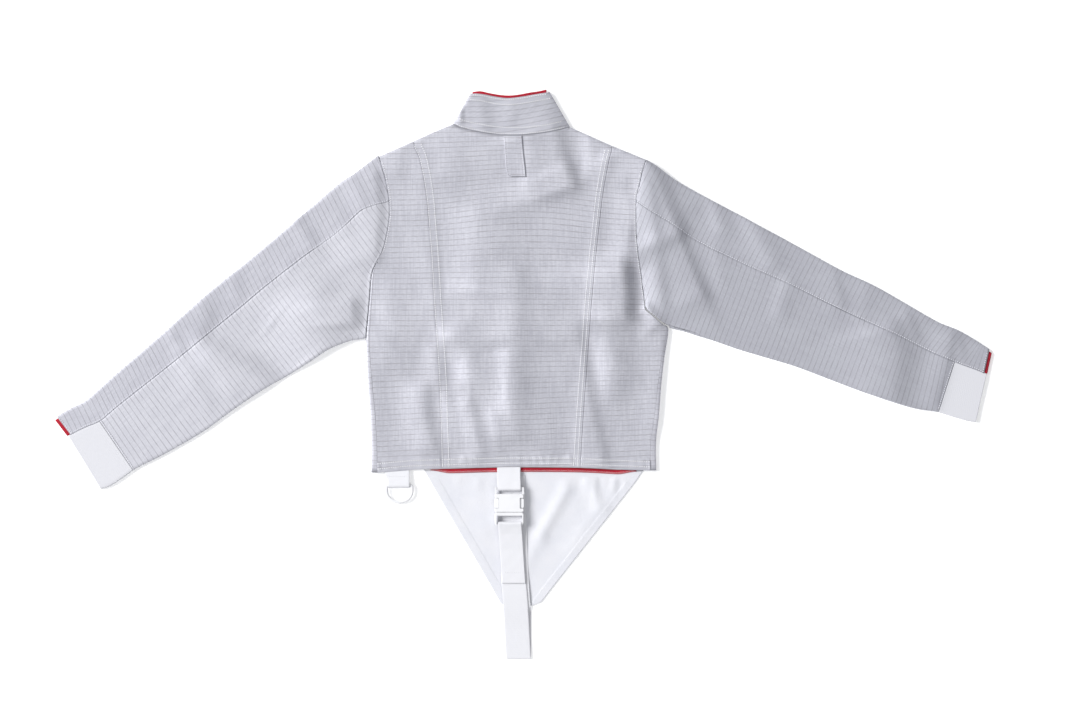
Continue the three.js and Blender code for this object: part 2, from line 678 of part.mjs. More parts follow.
function flapLevel(x, y) {
  const folds = FLAP_FOLDS.reduce((sum, fold) => {
    const t = clamp01((y - fold.y0) / (fold.y1 - fold.y0));
    const aside = x - mix(fold.x0, fold.x1, t);
    const past = Math.max(0, y - fold.y0, fold.y1 - y);
    return sum + fold.rise * Math.exp(-((aside / fold.width) ** 2) - (past / 14) ** 2);
  }, 0);
  const gathers = GATHERS.reduce((sum, { x: at, depth, width, rise }) => {
    const fade = clamp01(1 - (FLAP_CALM - y) / depth);
    return sum + rise * fade * Math.exp(-(((x - at) / width) ** 2));
  }, 0);
  return (folds + gathers) * clamp01((FLAP_CALM - y) / 6);
}

function flap() {
  const cells = 16;
  const hemShares = (left, right) => {
    const hem = FLAP_HEM.width * 1.17;
    const inner = spread(cells).map((share) => mix(left + hem, right - hem, share));
    return right - left > 3 * hem
      ? [left, left + hem - 1, ...inner, right - hem + 1, right]
      : spread(cells + 4).map((share) => mix(left, right, share));
  };
  const rows = FLAP.map(({ y, left, right }, i) => {
    const top = i === FLAP.length - 1;
    return hemShares(left, right).map((x) => {
      const at = top ? Math.min(y, hemY(x)) - SEAM_GAP : y;
      return onFloor([x, at], FLOOR_LEVEL + flapLevel(x, at));
    });
  });
  const lastColumn = rows[0].length - 1;
  const doubled = (i, j) => i < FLAP.length - 2 && (j <= 1 || j >= lastColumn - 1);
  rows.forEach((row, i) => row.forEach((point, j) => {
    if (doubled(i, j)) point.z = FLOOR_LEVEL + FLAP_HEM.extra / 2;
  }));
  shell('flap', WHITE_CLOTH, rows, { wall: (i, j) => (doubled(i, j) ? WALL + FLAP_HEM.extra : WALL) });
}

// Overlocked strip that shows below the back hem
function hemBinding() {
  const [from, to, depth, thickness] = [-141, 168, 7.6, 1];
  const grid = [depth, 1].map((below) => spread(18).map((share) => {
    const x = mix(from, to, share);
    const y = hemY(x) - below;
    const under = Math.max(FLOOR_LEVEL + flapLevel(x, y), FLOOR_LEVEL + flapLevel(x, y - 4)) + WALL / 2;
    return onFloor([x, y], under + SEAM_GAP + thickness / 2);
  }));
  shell('hem_binding', RED_CLOTH, grid, { wall: thickness });
}

// Flat band along a path of centre points, its width lying across X
function ribbon(name, finish, path, widths) {
  const grid = path.map(({ x, y, z }, i) => {
    const half = (Array.isArray(widths) ? widths[i] : widths) / 2;
    return [-half, 0, half].map((aside) => onFloor([x + aside, y], z));
  });
  shell(name, finish, grid);
}

// Half turn of a band round a bar, in the plane of Y and Z
function halfTurn(x, y, z, radius, from, to, steps = 6) {
  return spread(steps).map((share) => {
    const angle = THREE.MathUtils.degToRad(mix(from, to, share));
    return { x, y: y + radius * Math.cos(angle), z: z + radius * Math.sin(angle) };
  });
}

const PATH = ['x', 'y', 'z'];
const BAR_LEVEL = (BUCKLE.low + BUCKLE.high) / 2;
const BAR_HALF = { y: 1.8, z: 1.4 };
const BAR_TURN = Math.hypot(BAR_HALF.y, BAR_HALF.z) + 1.5 * SEAM_GAP + WALL / 2;
const UPPER_BAR_Y = BUCKLE.top - BAR_HALF.y;
const LOWER_BAR_Y = BUCKLE.bottom + BAR_HALF.y;

function strap() {
  ribbon('strap_webbing_upper', WEBBING, [
    ...table(PATH, [[-23.5, -129, 5.1], [-23.5, -138, 5.2], [-23.7, -147, 5.8], [-23.4, -158, 8.0], [-23.2, -164, 9.8]]),
    ...halfTurn(-23.0, UPPER_BAR_Y, BAR_LEVEL, -BAR_TURN, -90, 90),
    ...table(PATH, [[-23.2, -163, 4.7], [-23.4, -152, 3.7], [-23.7, -139, 3.6], [-23.5, -134, 3.6]]),
  ], 35);
  ribbon('strap_webbing_lower', WEBBING, [
    ...table(PATH, [[-16.2, -313, 5.2], [-17.2, -296, 5.2], [-19.4, -262, 5.3], [-21, -238, 7.4], [-21.8, -229, 9.4]]),
    ...halfTurn(-22.2, LOWER_BAR_Y, BAR_LEVEL, BAR_TURN, 90, -90),
    ...table(PATH, [[-21.6, -231, 4.6], [-20.6, -244, 3.7], [-19.4, -262, 3.6], [-17.3, -295, 3.6]]),
  ], 35);
  ribbon('strap_elastic', ELASTIC, [
    ...table(PATH, [[-17.2, -297, 3.7], [-15.6, -318, 3.9], [-14.4, -332, 4.6], [-13.2, -350, 4.6], [-11.6, -380, 3.0]]),
    ...table(PATH, [[-9.6, -418, 2.7]]),
    ...halfTurn(-9.3, -424.6, 1.68, -1.05, -90, 90),
    ...table(PATH, [[-8.4, -418, 0.6], [-8.6, -356, 0.6], [-9.4, -347, 3.1], [-10.6, -332, 3.1], [-12.2, -306, 2.1]]),
    ...table(PATH, [[-15.6, -225, 2.1], [-18.4, -151, 2.1]]),
  ], STRAP_WIDTH - 1);
}

// Joins and cuts closed solids
const wasm = await Module();
wasm.setup();

function solidOf(geometry) {
  const bare = geometry.clone();
  bare.deleteAttribute('normal');
  bare.deleteAttribute('uv');
  const merged = mergeVertices(bare, 1e-4);
  const vertProperties = new Float32Array(merged.attributes.position.array);
  return new wasm.Manifold(new wasm.Mesh({ numProp: 3, vertProperties, triVerts: new Uint32Array(merged.index.array) }));
}

function geometryOf(solid) {
  const mesh = solid.getMesh();
  const geometry = new THREE.BufferGeometry();
  geometry.setAttribute('position', new THREE.Float32BufferAttribute(mesh.vertProperties, 3));
  geometry.setIndex(Array.from(mesh.triVerts));
  return geometry;
}

// Upright block with rounded corners between two plan corners and two levels
function block(x0, x1, y0, y1, z0, z1, corner = 0.8, bevel = 0) {
  const shape = new THREE.Shape();
  const arc = (x, y, from) => shape.absarc(x, y, corner, from, from + Math.PI / 2, false);
  arc(x1 - corner - bevel, y1 - corner - bevel, 0);
  arc(x0 + corner + bevel, y1 - corner - bevel, Math.PI / 2);
  arc(x0 + corner + bevel, y0 + corner + bevel, Math.PI);
  arc(x1 - corner - bevel, y0 + corner + bevel, -Math.PI / 2);
  shape.closePath();
  const geometry = new THREE.ExtrudeGeometry(shape, {
    depth: z1 - z0 - 2 * bevel,
    bevelEnabled: bevel > 0,
    bevelThickness: bevel,
    bevelSize: bevel,
    bevelSegments: 1,
    curveSegments: 2,
  });
  geometry.translate(0, 0, z0 + bevel);
  return solidOf(geometry);
}

// Side-release buckle, fastened
const SHOULDER = 206;
const RAIL = 2.6;
function buckle() {
  const { x, top, bottom, width, low, high } = BUCKLE;
  const [x0, x1] = [x - width / 2, x + width / 2];
  const bar = [BAR_LEVEL - BAR_HALF.z, BAR_LEVEL + BAR_HALF.z];
  const split = -SHOULDER;
  const bodyTop = top - 2 * BAR_HALF.y - 6.6;
  const female = block(x0, x1, split + 0.4, bodyTop, low, high, 2, 1)
    .add(block(x0, x0 + RAIL, bodyTop - 3, top, low + 2, high - 2, 1))
    .add(block(x1 - RAIL, x1, bodyTop - 3, top, low + 2, high - 2, 1))
    .add(block(x0 + 1, x1 - 1, top - 2 * BAR_HALF.y, top, ...bar, 1))
    .subtract(block(x0 + 4, x1 - 4, split - 5, bodyTop - 3.5, BAR_LEVEL - 2.6, BAR_LEVEL + 2.6, 0.6))
    .subtract(block(x0 - 3, x0 + 6, split + 6, split + 22, low - 1, high + 1, 1.5))
    .subtract(block(x1 - 6, x1 + 3, split + 6, split + 22, low - 1, high + 1, 1.5));
  add('buckle_female', WHITE_PLASTIC, geometryOf(female));

  const plate = block(x0, x1, bottom + 1.5, split, low, high, 2, 1)
    .subtract(block(x0 + RAIL, x1 - RAIL, bottom - 3, split - 4.6, low - 1, high + 1, 1));
  const male = plate
    .add(block(x0 + 1, x1 - 1, bottom, bottom + 2 * BAR_HALF.y, ...bar, 1))
    .add(block(x - 5, x + 5, split - 2, split + 20, BAR_LEVEL - 2.2, BAR_LEVEL + 2.2, 1.5))
    .add(block(x0 + 4.6, x0 + 9, split - 2, split + 21, BAR_LEVEL - 2.2, BAR_LEVEL + 2.2, 1.5))
    .add(block(x1 - 9, x1 - 4.6, split - 2, split + 21, BAR_LEVEL - 2.2, BAR_LEVEL + 2.2, 1.5))
    .add(block(x0 - 0.4, x0 + 6, split + 6.5, split + 21.4, low + 1.6, high - 1.6, 2, 0.6))
    .add(block(x1 - 6, x1 + 0.4, split + 6.5, split + 21.4, low + 1.6, high - 1.6, 2, 0.6));
  add('buckle_male', WHITE_PLASTIC, geometryOf(male));
}

// Loop of webbing at the left hem and the ring whose straight bar it holds
function ringAndLoop() {
  const { left, right, axisY, bottom, wire, height, facet } = RING;
  const barRadius = (wire / 2) * Math.hypot(1, facet);
  const turn = barRadius + SEAM_GAP + WALL / 2;
  const level = FLOOR_LEVEL + turn;
  const round = halfTurn(-188.6, axisY, level, -turn, -90, 90);
  const path = [
    ...table(PATH, [[-191.8, -130, 3.6], [-191.8, -140, 3.8], [-191, -150, 5.2], [-188.8, -159, 7]]),
    ...round,
    ...table(PATH, [[-189, -161, 0.6], [-191, -150, 0.6], [-191.8, -147.2, 0.6]]),
  ];
  const widths = path.map(({ y }) => mix(37.5, 29.8, smooth((-145 - y) / 13)));
  ribbon('ring_loop', WEBBING, path, widths);

  const straight = 9;
  const middle = (left + right) / 2;
  const half = (right - left - wire) / 2;
  const drop = axisY - straight - (bottom + wire / 2);
  const corner = 2.2;
  const outline = [[-half + corner, 0], [half - corner, 0], [half - 0.5, -0.8], [half, -corner], [half, -straight / 2]];
  for (const share of spread(12)) {
    const angle = share * Math.PI;
    outline.push([half * Math.cos(angle), -straight - drop * Math.sin(angle)]);
  }
  outline.push([-half, -straight / 2], [-half, -corner], [-half + 0.5, -0.8]);
  const quarter = [[1, -facet], [1, facet], [facet, 1], [-facet, 1]];
  const section = [...quarter, ...quarter.map(([across, up]) => [-across, -up])].reverse();
  const positions = [];
  const indices = [];
  outline.forEach(([x, y], i) => {
    const before = outline[(i + outline.length - 1) % outline.length];
    const after = outline[(i + 1) % outline.length];
    const length = Math.hypot(after[0] - before[0], after[1] - before[1]);
    const [outX, outY] = [-(after[1] - before[1]) / length, (after[0] - before[0]) / length];
    for (const [across, up] of section) {
      const off = (across * wire) / 2;
      positions.push(middle + x + outX * off, axisY + y + outY * off, level + (up * height) / 2);
    }
    const next = (i + 1) % outline.length;
    section.forEach((_, s) => {
      const t = (s + 1) % section.length;
      const [a, b, c, d] = [i * 8 + s, i * 8 + t, next * 8 + t, next * 8 + s];
      indices.push(a, c, b, a, d, c);
    });
  });
  const geometry = new THREE.BufferGeometry();
  geometry.setAttribute('position', new THREE.Float32BufferAttribute(positions, 3));
  geometry.setIndex(indices);
  add('d_ring', WHITE_PLASTIC, geometry);
}

backCentre();
['left', 'right'].forEach((side) => {
  backSide(side);
  front(side);
  sleeve(side);
});
frontTapes();
collar();
collarFacing();
neckTab();
flap();
hemBinding();
strap();
buckle();
ringAndLoop();

// The origin lies in the middle of the underside
const reach = new THREE.Box3().setFromObject(group);
const middle = reach.getCenter(new THREE.Vector3());
group.position.set(-middle.x, -middle.y, -reach.min.z);

export default group;
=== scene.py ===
# %% [markdown]
# # A fencing lame laid out on its front
#
# A lame is the thin jacket that a fencer wears over the padded one. Its cloth has metal thread woven
# into it, so that a touch closes an electric circuit. Here it lies with its back up, its sleeves out
# and the flap of its fronts folded out below the hem. The hard parts come from the CAD model, and
# this notebook sews finer cloth over the CAD solids, piece by piece, and gives each its finish.

import bpy
import numpy as np
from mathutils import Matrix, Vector


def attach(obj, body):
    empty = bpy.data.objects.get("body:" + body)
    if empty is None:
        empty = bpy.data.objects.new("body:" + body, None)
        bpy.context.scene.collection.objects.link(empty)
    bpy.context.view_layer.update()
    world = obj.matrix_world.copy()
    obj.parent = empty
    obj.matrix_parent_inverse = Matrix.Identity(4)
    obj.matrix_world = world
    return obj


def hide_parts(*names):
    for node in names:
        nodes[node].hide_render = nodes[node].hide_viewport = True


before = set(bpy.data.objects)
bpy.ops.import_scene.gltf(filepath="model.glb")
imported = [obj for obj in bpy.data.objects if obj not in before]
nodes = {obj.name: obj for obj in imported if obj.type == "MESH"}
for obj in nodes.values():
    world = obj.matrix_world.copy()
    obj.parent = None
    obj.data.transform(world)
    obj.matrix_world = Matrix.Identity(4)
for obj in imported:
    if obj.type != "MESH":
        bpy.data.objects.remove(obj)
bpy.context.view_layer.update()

# %% [markdown]
# ## Camera
#
# The jacket was photographed from straight above. The lens looks down at the middle of the picture,
# and its height is worked out from the width that the picture has to take in at the cloth.

# %% Camera
VIEW_WIDTH = 1.62
PICTURE_MIDDLE = (0.0252, 0.0214)
LENS, SENSOR = 85.0, 36.0
CLOTH_HEIGHT = 0.005
camera_data = bpy.data.cameras.new("camera")
camera_data.lens, camera_data.sensor_width = LENS, SENSOR
camera = bpy.data.objects.new("camera", camera_data)
camera.location = (*PICTURE_MIDDLE, CLOTH_HEIGHT + VIEW_WIDTH * LENS / SENSOR)
bpy.context.scene.collection.objects.link(camera)
bpy.context.scene.camera = camera
print("camera height:", round(camera.location.z, 3), "m")

# %% [markdown]
# ## Light and floor
#
# A large soft lamp at the upper left gives the folds their soft shade and leaves a narrow shadow on
# the right of each edge. A pale room fills the rest. The floor is a plain pale table top.

# %% Light and floor
def soft_lamp(name, place, size, power):
    """A square area lamp that points at the middle of the jacket"""
    data = bpy.data.lights.new(name, "AREA")
    data.size, data.energy = size, power
    lamp = bpy.data.objects.new(name, data)
    lamp.location = place
    lamp.rotation_euler = (-Vector(place)).to_track_quat("-Z", "Y").to_euler()
    bpy.context.scene.collection.objects.link(lamp)
    return lamp


soft_lamp("key_lamp", (-12.6, 3.9, 9.3), 6.6, 3450)
soft_lamp("fill_lamp", (7.8, -6.6, 13.8), 9.0, 420)
world = bpy.data.worlds.new("pale_room")
world.use_nodes = True
world.node_tree.nodes["Background"].inputs["Color"].default_value = (0.95, 0.97, 1.0, 1)
world.node_tree.nodes["Background"].inputs["Strength"].default_value = 0.42
bpy.context.scene.world = world
bpy.context.scene.view_settings.view_transform = "Standard"

# %% [markdown]
# ## Shader maths
#
# A finish is a small network of shader nodes. To read like maths, each socket is wrapped in a class
# whose operators add the Math nodes, so `1 - mask` is a mask turned round.

# %% Shader maths
class Field:
    """A value that changes over a surface"""

    def __init__(self, finish, socket):
        self.finish, self.socket = finish, socket

    def maths(self, operation, *others):
        values = {0: self, **{i + 1: other for i, other in enumerate(others)}}
        return self.finish.node("ShaderNodeMath", {"operation": operation}, values)

    def __add__(self, other):
        return self.maths("ADD", other)

    def __sub__(self, other):
        return self.maths("SUBTRACT", other)

    def __rsub__(self, other):
        return self.finish.node("ShaderNodeMath", {"operation": "SUBTRACT"}, {0: other, 1: self})

    def __mul__(self, other):
        return self.maths("MULTIPLY", other)

    def __truediv__(self, other):
        return self.maths("DIVIDE", other)

    __radd__ = __add__

    def fraction(self):
        return self.maths("FRACT")

    def size(self):
        return self.maths("ABSOLUTE")

    def wave(self, period):
        """A sine of that period, from -1 to 1"""
        return (self * (2 * np.pi / period)).maths("SINE")

    def ramp(self, low, high):
        """Smooth step from 0 at low to 1 at high"""
        settings = {"interpolation_type": "SMOOTHSTEP"}
        values = {"Value": self, "From Min": low, "From Max": high}
        return self.finish.node("ShaderNodeMapRange", settings, values)


class Finish:
    """A material that is built up from nodes"""

    def __init__(self, name, **constants):
        self.material = bpy.data.materials.new(name)
        self.material.use_nodes = True
        self.tree = self.material.node_tree
        self.shader = self.tree.nodes["Principled BSDF"]
        for socket, value in constants.items():
            self.shader.inputs[socket.replace("_", " ")].default_value = value

    def node(self, kind, settings=None, values=None, output=0):
        """Adds a node: its settings first, and then the values or links of its sockets"""
        made = self.tree.nodes.new(kind)
        for key, value in (settings or {}).items():
            setattr(made, key, value)
        for key, value in (values or {}).items():
            if isinstance(value, Field):
                self.tree.links.new(value.socket, made.inputs[key])
            else:
                made.inputs[key].default_value = value
        return Field(self, made.outputs[output])

    def weave(self):
        """Places on the cut cloth in metres: across the piece, and along it"""
        flat = self.node("ShaderNodeUVMap", {"uv_map": "weave"})
        split = self.node("ShaderNodeSeparateXYZ", None, {"Vector": flat})
        return split, Field(self, split.socket.node.outputs[1])

    def noise(self, across, along, scale, detail=2.0):
        """Soft noise from 0 to 1 over the cloth"""
        place = self.node("ShaderNodeCombineXYZ", None, {"X": across, "Y": along})
        return self.node("ShaderNodeTexNoise", None, {"Vector": place, "Scale": scale, "Detail": detail})

    def blend(self, factor, first, second):
        """Colour between two colours"""
        values = {"Factor": factor, 6: first, 7: second}
        return self.node("ShaderNodeMix", {"data_type": "RGBA"}, values, output=2)

    def feed(self, **sockets):
        """Links fields to sockets of the shader"""
        for socket, field in sockets.items():
            self.tree.links.new(field.socket, self.shader.inputs[socket.replace("_", " ")])
        return self

    def relief(self, height, depth, strength=1.0):
        """Bump from a height field; depth is its real height in metres"""
        bump = self.node("ShaderNodeBump", None, {"Height": height, "Distance": depth, "Strength": strength})
        return self.feed(Normal=bump)


def colour(red, green, blue):
    """A screen colour, 0 to 255, as linear light"""
    screen = np.array([red, green, blue]) / 255
    linear = np.where(screen <= 0.04045, screen / 12.92, ((screen + 0.055) / 1.055) ** 2.4)
    return (*linear, 1.0)


# %% Floor
FLOOR_SIZE = 12.0
FLOOR_TOP = -0.0005
TABLE_GLOW = 0.3
floor_finish = Finish(
    "table_top", Base_Color=colour(250, 250, 250), Roughness=0.9,
    Emission_Color=colour(255, 255, 255), Emission_Strength=TABLE_GLOW,
)
half = FLOOR_SIZE / 2
floor_corners = [(-half, -half, 0), (half, -half, 0), (half, half, 0), (-half, half, 0)]
floor_mesh = bpy.data.meshes.new("floor")
floor_mesh.from_pydata(floor_corners, [], [(0, 1, 2, 3)])
floor = bpy.data.objects.new("floor", floor_mesh)
floor.location.z = FLOOR_TOP
floor_mesh.materials.append(floor_finish.material)
bpy.context.scene.collection.objects.link(floor)

# %% [markdown]
# ## The conductive cloth
#
# The ground is silver grey with a cool cast, half textile and half metal. About every 8 mm a darker
# yarn runs across the piece. The lines are drawn from the weave map, which holds the place of each
# point on the cut cloth, so they follow every panel and bend with its seams. Slow noise lets the
# yarns drift and fade, and the crossing threads give the bump. Cloth with metal in it looks lighter
# or darker as its grain turns to the light, and that sheen is painted: the sleeves and the collar
# get lighter and darker copies of the colours, as painted sheen and painted shade.

# %% Conductive cloth
LINE_PITCH = 0.0078
LINE_HALF = 0.0005
GROUND = colour(199, 199, 207)
GROUND_DULL = colour(180, 180, 189)
LINE = colour(164, 162, 168)


def conductive_cloth(name, ground=GROUND, dull=GROUND_DULL, line=LINE):
    """Silver cloth: colour of the ground, of its duller patches and of the darker yarns"""
    finish = Finish(name, Metallic=0.42, Sheen_Weight=0.08)
    across, along = finish.weave()
    drift = finish.noise(across, along, 9.0) - 0.5
    away = ((along + drift * 0.004) / LINE_PITCH).fraction() - 0.5
    yarn = 1 - (away.size() * LINE_PITCH).ramp(LINE_HALF * 0.4, LINE_HALF * 2.0)
    worn = finish.noise(across * 2, along, 45.0, 3.0).ramp(0.35, 0.65)
    slubs = finish.noise(across * 0.35, along * 2.4, 420.0, 1.0)
    warp = finish.noise(across * 2.6, along * 0.14, 190.0, 2.0)
    cloud = finish.noise(across, along, 22.0, 3.0)
    body = finish.blend((cloud * 0.3 + slubs * 0.35 + warp * 0.35).ramp(0.36, 0.64), ground, dull)
    finish.feed(Base_Color=finish.blend(yarn * (0.5 + worn * 0.5), body, line))
    finish.feed(Roughness=0.5 + slubs * 0.16)
    threads = across.wave(0.0011) * along.wave(0.0011)
    return finish.relief(threads * 0.25 + slubs + yarn * 0.5, 0.00012, 0.8)


lame_cloth = conductive_cloth("conductive_cloth")
# Lit and shaded copies of the cloth's colours: painted sheen makes the left under sleeve lighter, and painted
# shade makes the right sleeve, the left top sleeve and the collar darker.
RIGHT_SLEEVE_SHADED_COLOURS = (colour(183, 184, 192), colour(174, 174, 183), colour(154, 153, 160))
SHEEN_PAINTED_COLOURS = {
    "left_top": (colour(193, 193, 201), colour(180, 180, 189), colour(157, 156, 163)),
    "left_under": (colour(202, 202, 209), colour(190, 190, 198), colour(162, 161, 168)),
    "right_top": RIGHT_SLEEVE_SHADED_COLOURS,
    "right_under": RIGHT_SLEEVE_SHADED_COLOURS,
    "collar": (colour(192, 192, 200), colour(173, 173, 182), colour(154, 153, 160)),
}
sheen_painted_cloth = {}
for part, colours in SHEEN_PAINTED_COLOURS.items():
    sheen_painted_cloth[part] = conductive_cloth("conductive_cloth_painted_sheen_" + part, *colours)
print("conductive cloth: a line every", LINE_PITCH * 1000, "mm")

# %% [markdown]
# ## The plain finishes
#
# The flap is white cotton, the strap is nylon webbing, and the cuffs and the lower strap are ribbed
# elastic. The facings, whose edges show, are red cotton. Buckle and ring are moulded nylon, a little
# glossy.

# %% Plain finishes
def woven_cloth(name, light, shade, thread, depth=0.00015, roughness=0.9):
    """Plain weave of two colours; thread is the pitch of its threads"""
    finish = Finish(name, Roughness=roughness, Sheen_Weight=0.15)
    across, along = finish.weave()
    cloud = finish.noise(across, along, 30.0, 3.0)
    fuzz = finish.noise(across, along, 900.0, 1.0)
    finish.feed(Base_Color=finish.blend((cloud * 0.6 + fuzz * 0.4).ramp(0.3, 0.7), light, shade))
    threads = across.wave(thread) * along.wave(thread)
    return finish.relief(threads * 0.5 + fuzz, depth)


def ribbed_cloth(name, light, shade, rib, pick, depth):
    """Band with ribs along it and picks across it"""
    finish = Finish(name, Roughness=0.82, Sheen_Weight=0.1)
    across, along = finish.weave()
    ribs, picks = across.wave(rib), along.wave(pick)
    fuzz = finish.noise(across, along, 700.0, 1.0)
    height = ribs * 0.5 + ribs * picks * 0.35 + fuzz * 0.5
    # Colour follows the rib height: painted shade in the hollows between the ribs and painted light on their
    # tops.
    finish.feed(Base_Color=finish.blend(height.ramp(-0.6, 0.9), shade, light))
    return finish.relief(height, depth)


def moulded_plastic(name, light, shade):
    """Nearly even nylon with a fine grain"""
    finish = Finish(name, Specular_IOR_Level=0.45)
    place = finish.node("ShaderNodeTexCoord", None, None, output=3)
    grain = finish.node("ShaderNodeTexNoise", None, {"Vector": place, "Scale": 900.0, "Detail": 2.0})
    cloud = finish.node("ShaderNodeTexNoise", None, {"Vector": place, "Scale": 40.0, "Detail": 2.0})
    finish.feed(Base_Color=finish.blend(cloud.ramp(0.35, 0.65), light, shade))
    finish.feed(Roughness=0.34 + grain * 0.12)
    return finish.relief(grain, 0.00003, 0.5)


cotton = woven_cloth("white_cotton", colour(225, 225, 230), colour(218, 219, 226), 0.0009)
red_cotton = woven_cloth("red_cotton", colour(184, 16, 44), colour(152, 10, 34), 0.0009)
webbing = ribbed_cloth("nylon_webbing", colour(229, 229, 233), colour(221, 221, 226), 0.0016, 0.0012, 0.00018)
ELASTIC_RIBS = (0.0013, 0.0026, 0.00015)
elastic = ribbed_cloth("ribbed_elastic", colour(227, 227, 231), colour(218, 218, 223), *ELASTIC_RIBS)
cuff_ribbing = ribbed_cloth("cuff_ribbing", colour(216, 216, 221), colour(207, 207, 213), *ELASTIC_RIBS)
tape = woven_cloth("hook_and_loop", colour(233, 233, 237), colour(214, 214, 220), 0.0015, 0.0006, 0.95)
thread = woven_cloth("sewing_thread", colour(250, 250, 251), colour(242, 242, 245), 0.0006)
grey_thread = woven_cloth("grey_thread", colour(226, 226, 232), colour(212, 212, 220), 0.0006)
# Dark grey for the strokes between stitches: painted shade of the dips at the needle holes.
painted_hole_shade_finish = woven_cloth("needle_hole_shade", colour(158, 158, 168), colour(142, 142, 152), 0.0006)
nylon = moulded_plastic("moulded_nylon", colour(231, 231, 233), colour(226, 226, 229))

# %% [markdown]
# ## The pattern
#
# Each cloth piece has a flat pattern, as on a cutting table. The tables below give its lines in
# millimetres on the laid-out jacket: X runs across the shoulders and Y towards the collar. The CAD
# model has its origin in the middle of the underside, so the middle is taken off at the end.

# %% Pattern of the body
MM = 0.001
MIDDLE = np.array([-2.001, 1.075, 0.0])
WALL = 1.2
SEAM_GAP = 0.3
FLOOR_LEVEL = WALL / 2
BACK_LEVEL = 5.2


def table(columns, rows):
    """Rows with named columns"""
    return [dict(zip(columns, row)) for row in rows]


BODY_ROWS = table(["share", "leftX", "leftY", "rightX", "rightY"], [
    [0.00, -230.2, -146.5, 198.0, -143.2],
    [0.09, -230.0, -103.0, 197.5, -101.0],
    [0.18, -231.6, -60.0, 202.0, -59.0],
    [0.27, -234.4, -20.0, 205.2, -17.0],
    [0.36, -236.8, 20.0, 210.0, 25.0],
    [0.43, -237.8, 55.5, 216.0, 68.0],
    [0.49, -235.4, 86.0, 207.0, 75.5],
    [0.55, -232.6, 118.0, 198.8, 82.5],
    [0.61, -229.5, 151.5, 189.5, 90.5],
    [0.66, -222.0, 170.0, 180.8, 99.0],
    [0.71, -213.5, 186.0, 178.5, 122.0],
    [0.76, -207.2, 210.0, 174.5, 153.0],
    [0.81, -203.0, 237.0, 168.5, 200.0],
    [0.86, -203.2, 261.0, 167.2, 259.5],
    [0.91, -207.0, 285.0, 171.0, 280.5],
    [0.955, -212.5, 308.0, 176.4, 304.0],
    [1.00, -218.2, 327.8, 182.2, 322.5],
])
UNDERARM, ELBOW, SHOULDER = 0.43, 0.86, 1.0
SIDE_TOP = {"left": 0.61, "right": 0.43}
SIDE_TOP_NEXT = {"left": 0.66, "right": 0.49}
FRONT_SEAM = {"left": 0.49, "right": 0.61}
BELOW_SHOULDER = 0.955
INWARD = {"left": 1, "right": -1}

SEAMS = table(["y", "left", "right"], [
    [-140, -123.8, 83.2],
    [-75, -125.4, 87.0],
    [-10, -127.6, 91.5],
    [52, -131.3, 96.0],
    [112, -135.4, 100.5],
    [169, -138.8, 105.8],
    [225, -143.0, 111.8],
    [270, -147.2, 117.0],
    [316, -155.2, 125.2],
    [351, -165.8, 132.6],
])
HEM = table(["x", "y"], [
    [-230.2, -146.5],
    [-174.8, -141.8],
    [-124.0, -140.1],
    [-44.0, -138.0],
    [0.0, -137.7],
    [83.2, -138.5],
    [140.0, -141.2],
    [198.0, -143.2],
])
LEFT_SHOULDER = table(["share", "x", "y"], [
    [0.00, -165.8, 351.0],
    [0.10, -140.0, 362.8],
    [0.22, -107.2, 376.5],
])
RIGHT_SHOULDER = table(["share", "x", "y"], [
    [0.82, 68.2, 372.0],
    [0.91, 98.2, 358.4],
    [1.00, 130.5, 344.0],
])
NECK = table(["share", "x", "y", "collarX", "collarY"], [
    [0.22, -107.2, 376.5, -81.8, 421.5],
    [0.30, -93.8, 370.5, -71.0, 421.5],
    [0.39, -70.0, 365.0, -57.0, 419.8],
    [0.48, -45.0, 360.8, -42.0, 416.8],
    [0.57, -18.0, 359.2, -24.0, 414.8],
    [0.66, 10.0, 360.4, -3.0, 417.0],
    [0.74, 40.0, 364.6, 18.0, 420.6],
    [0.82, 68.2, 372.0, 38.2, 423.8],
])

# %% [markdown]
# The pattern's lines are smooth curves through the tables' points. Everything works on whole arrays
# of points at once, which keeps the notebook quick.

# %% Curves and lines
def curve(rows, key, column):
    """Smooth function through one column of a table"""
    at, value = (np.array([row[name] for row in rows], float) for name in (key, column))
    last = len(rows) - 1
    before, after = np.clip(np.arange(last + 1) - 1, 0, last), np.clip(np.arange(last + 1) + 1, 0, last)
    slope = (value[after] - value[before]) / (at[after] - at[before])

    def read(place):
        i = np.clip(np.searchsorted(at, place) - 1, 0, last - 1)
        span = at[i + 1] - at[i]
        t = np.clip((place - at[i]) / span, 0, 1)
        start = value[i] * (1 + 2 * t) * (1 - t) ** 2 + slope[i] * span * t * (1 - t) ** 2
        return start + value[i + 1] * t * t * (3 - 2 * t) + slope[i + 1] * span * t * t * (t - 1)

    return read


def smooth(t):
    """Soft step from 0 at 0 to 1 at 1"""
    t = np.clip(t, 0, 1)
    return t * t * (3 - 2 * t)


def mix(a, b, t):
    return a + (b - a) * t


def unit(vectors):
    return vectors / np.maximum(np.linalg.norm(vectors, axis=-1, keepdims=True), 1e-9)


def lengths(line):
    """Distance of each point of a line from its start"""
    return np.r_[0, np.cumsum(np.linalg.norm(np.diff(line, axis=0), axis=1))]


def walk(line, distances):
    """Points at given distances down a line"""
    line = np.asarray(line, float)
    at = lengths(line)
    return np.stack([np.interp(distances, at, line[:, k]) for k in range(line.shape[1])], 1)


def towards(start, end, distance):
    """Point at a distance from one point towards another"""
    start, end = np.asarray(start, float), np.asarray(end, float)
    return start + unit(end - start) * distance


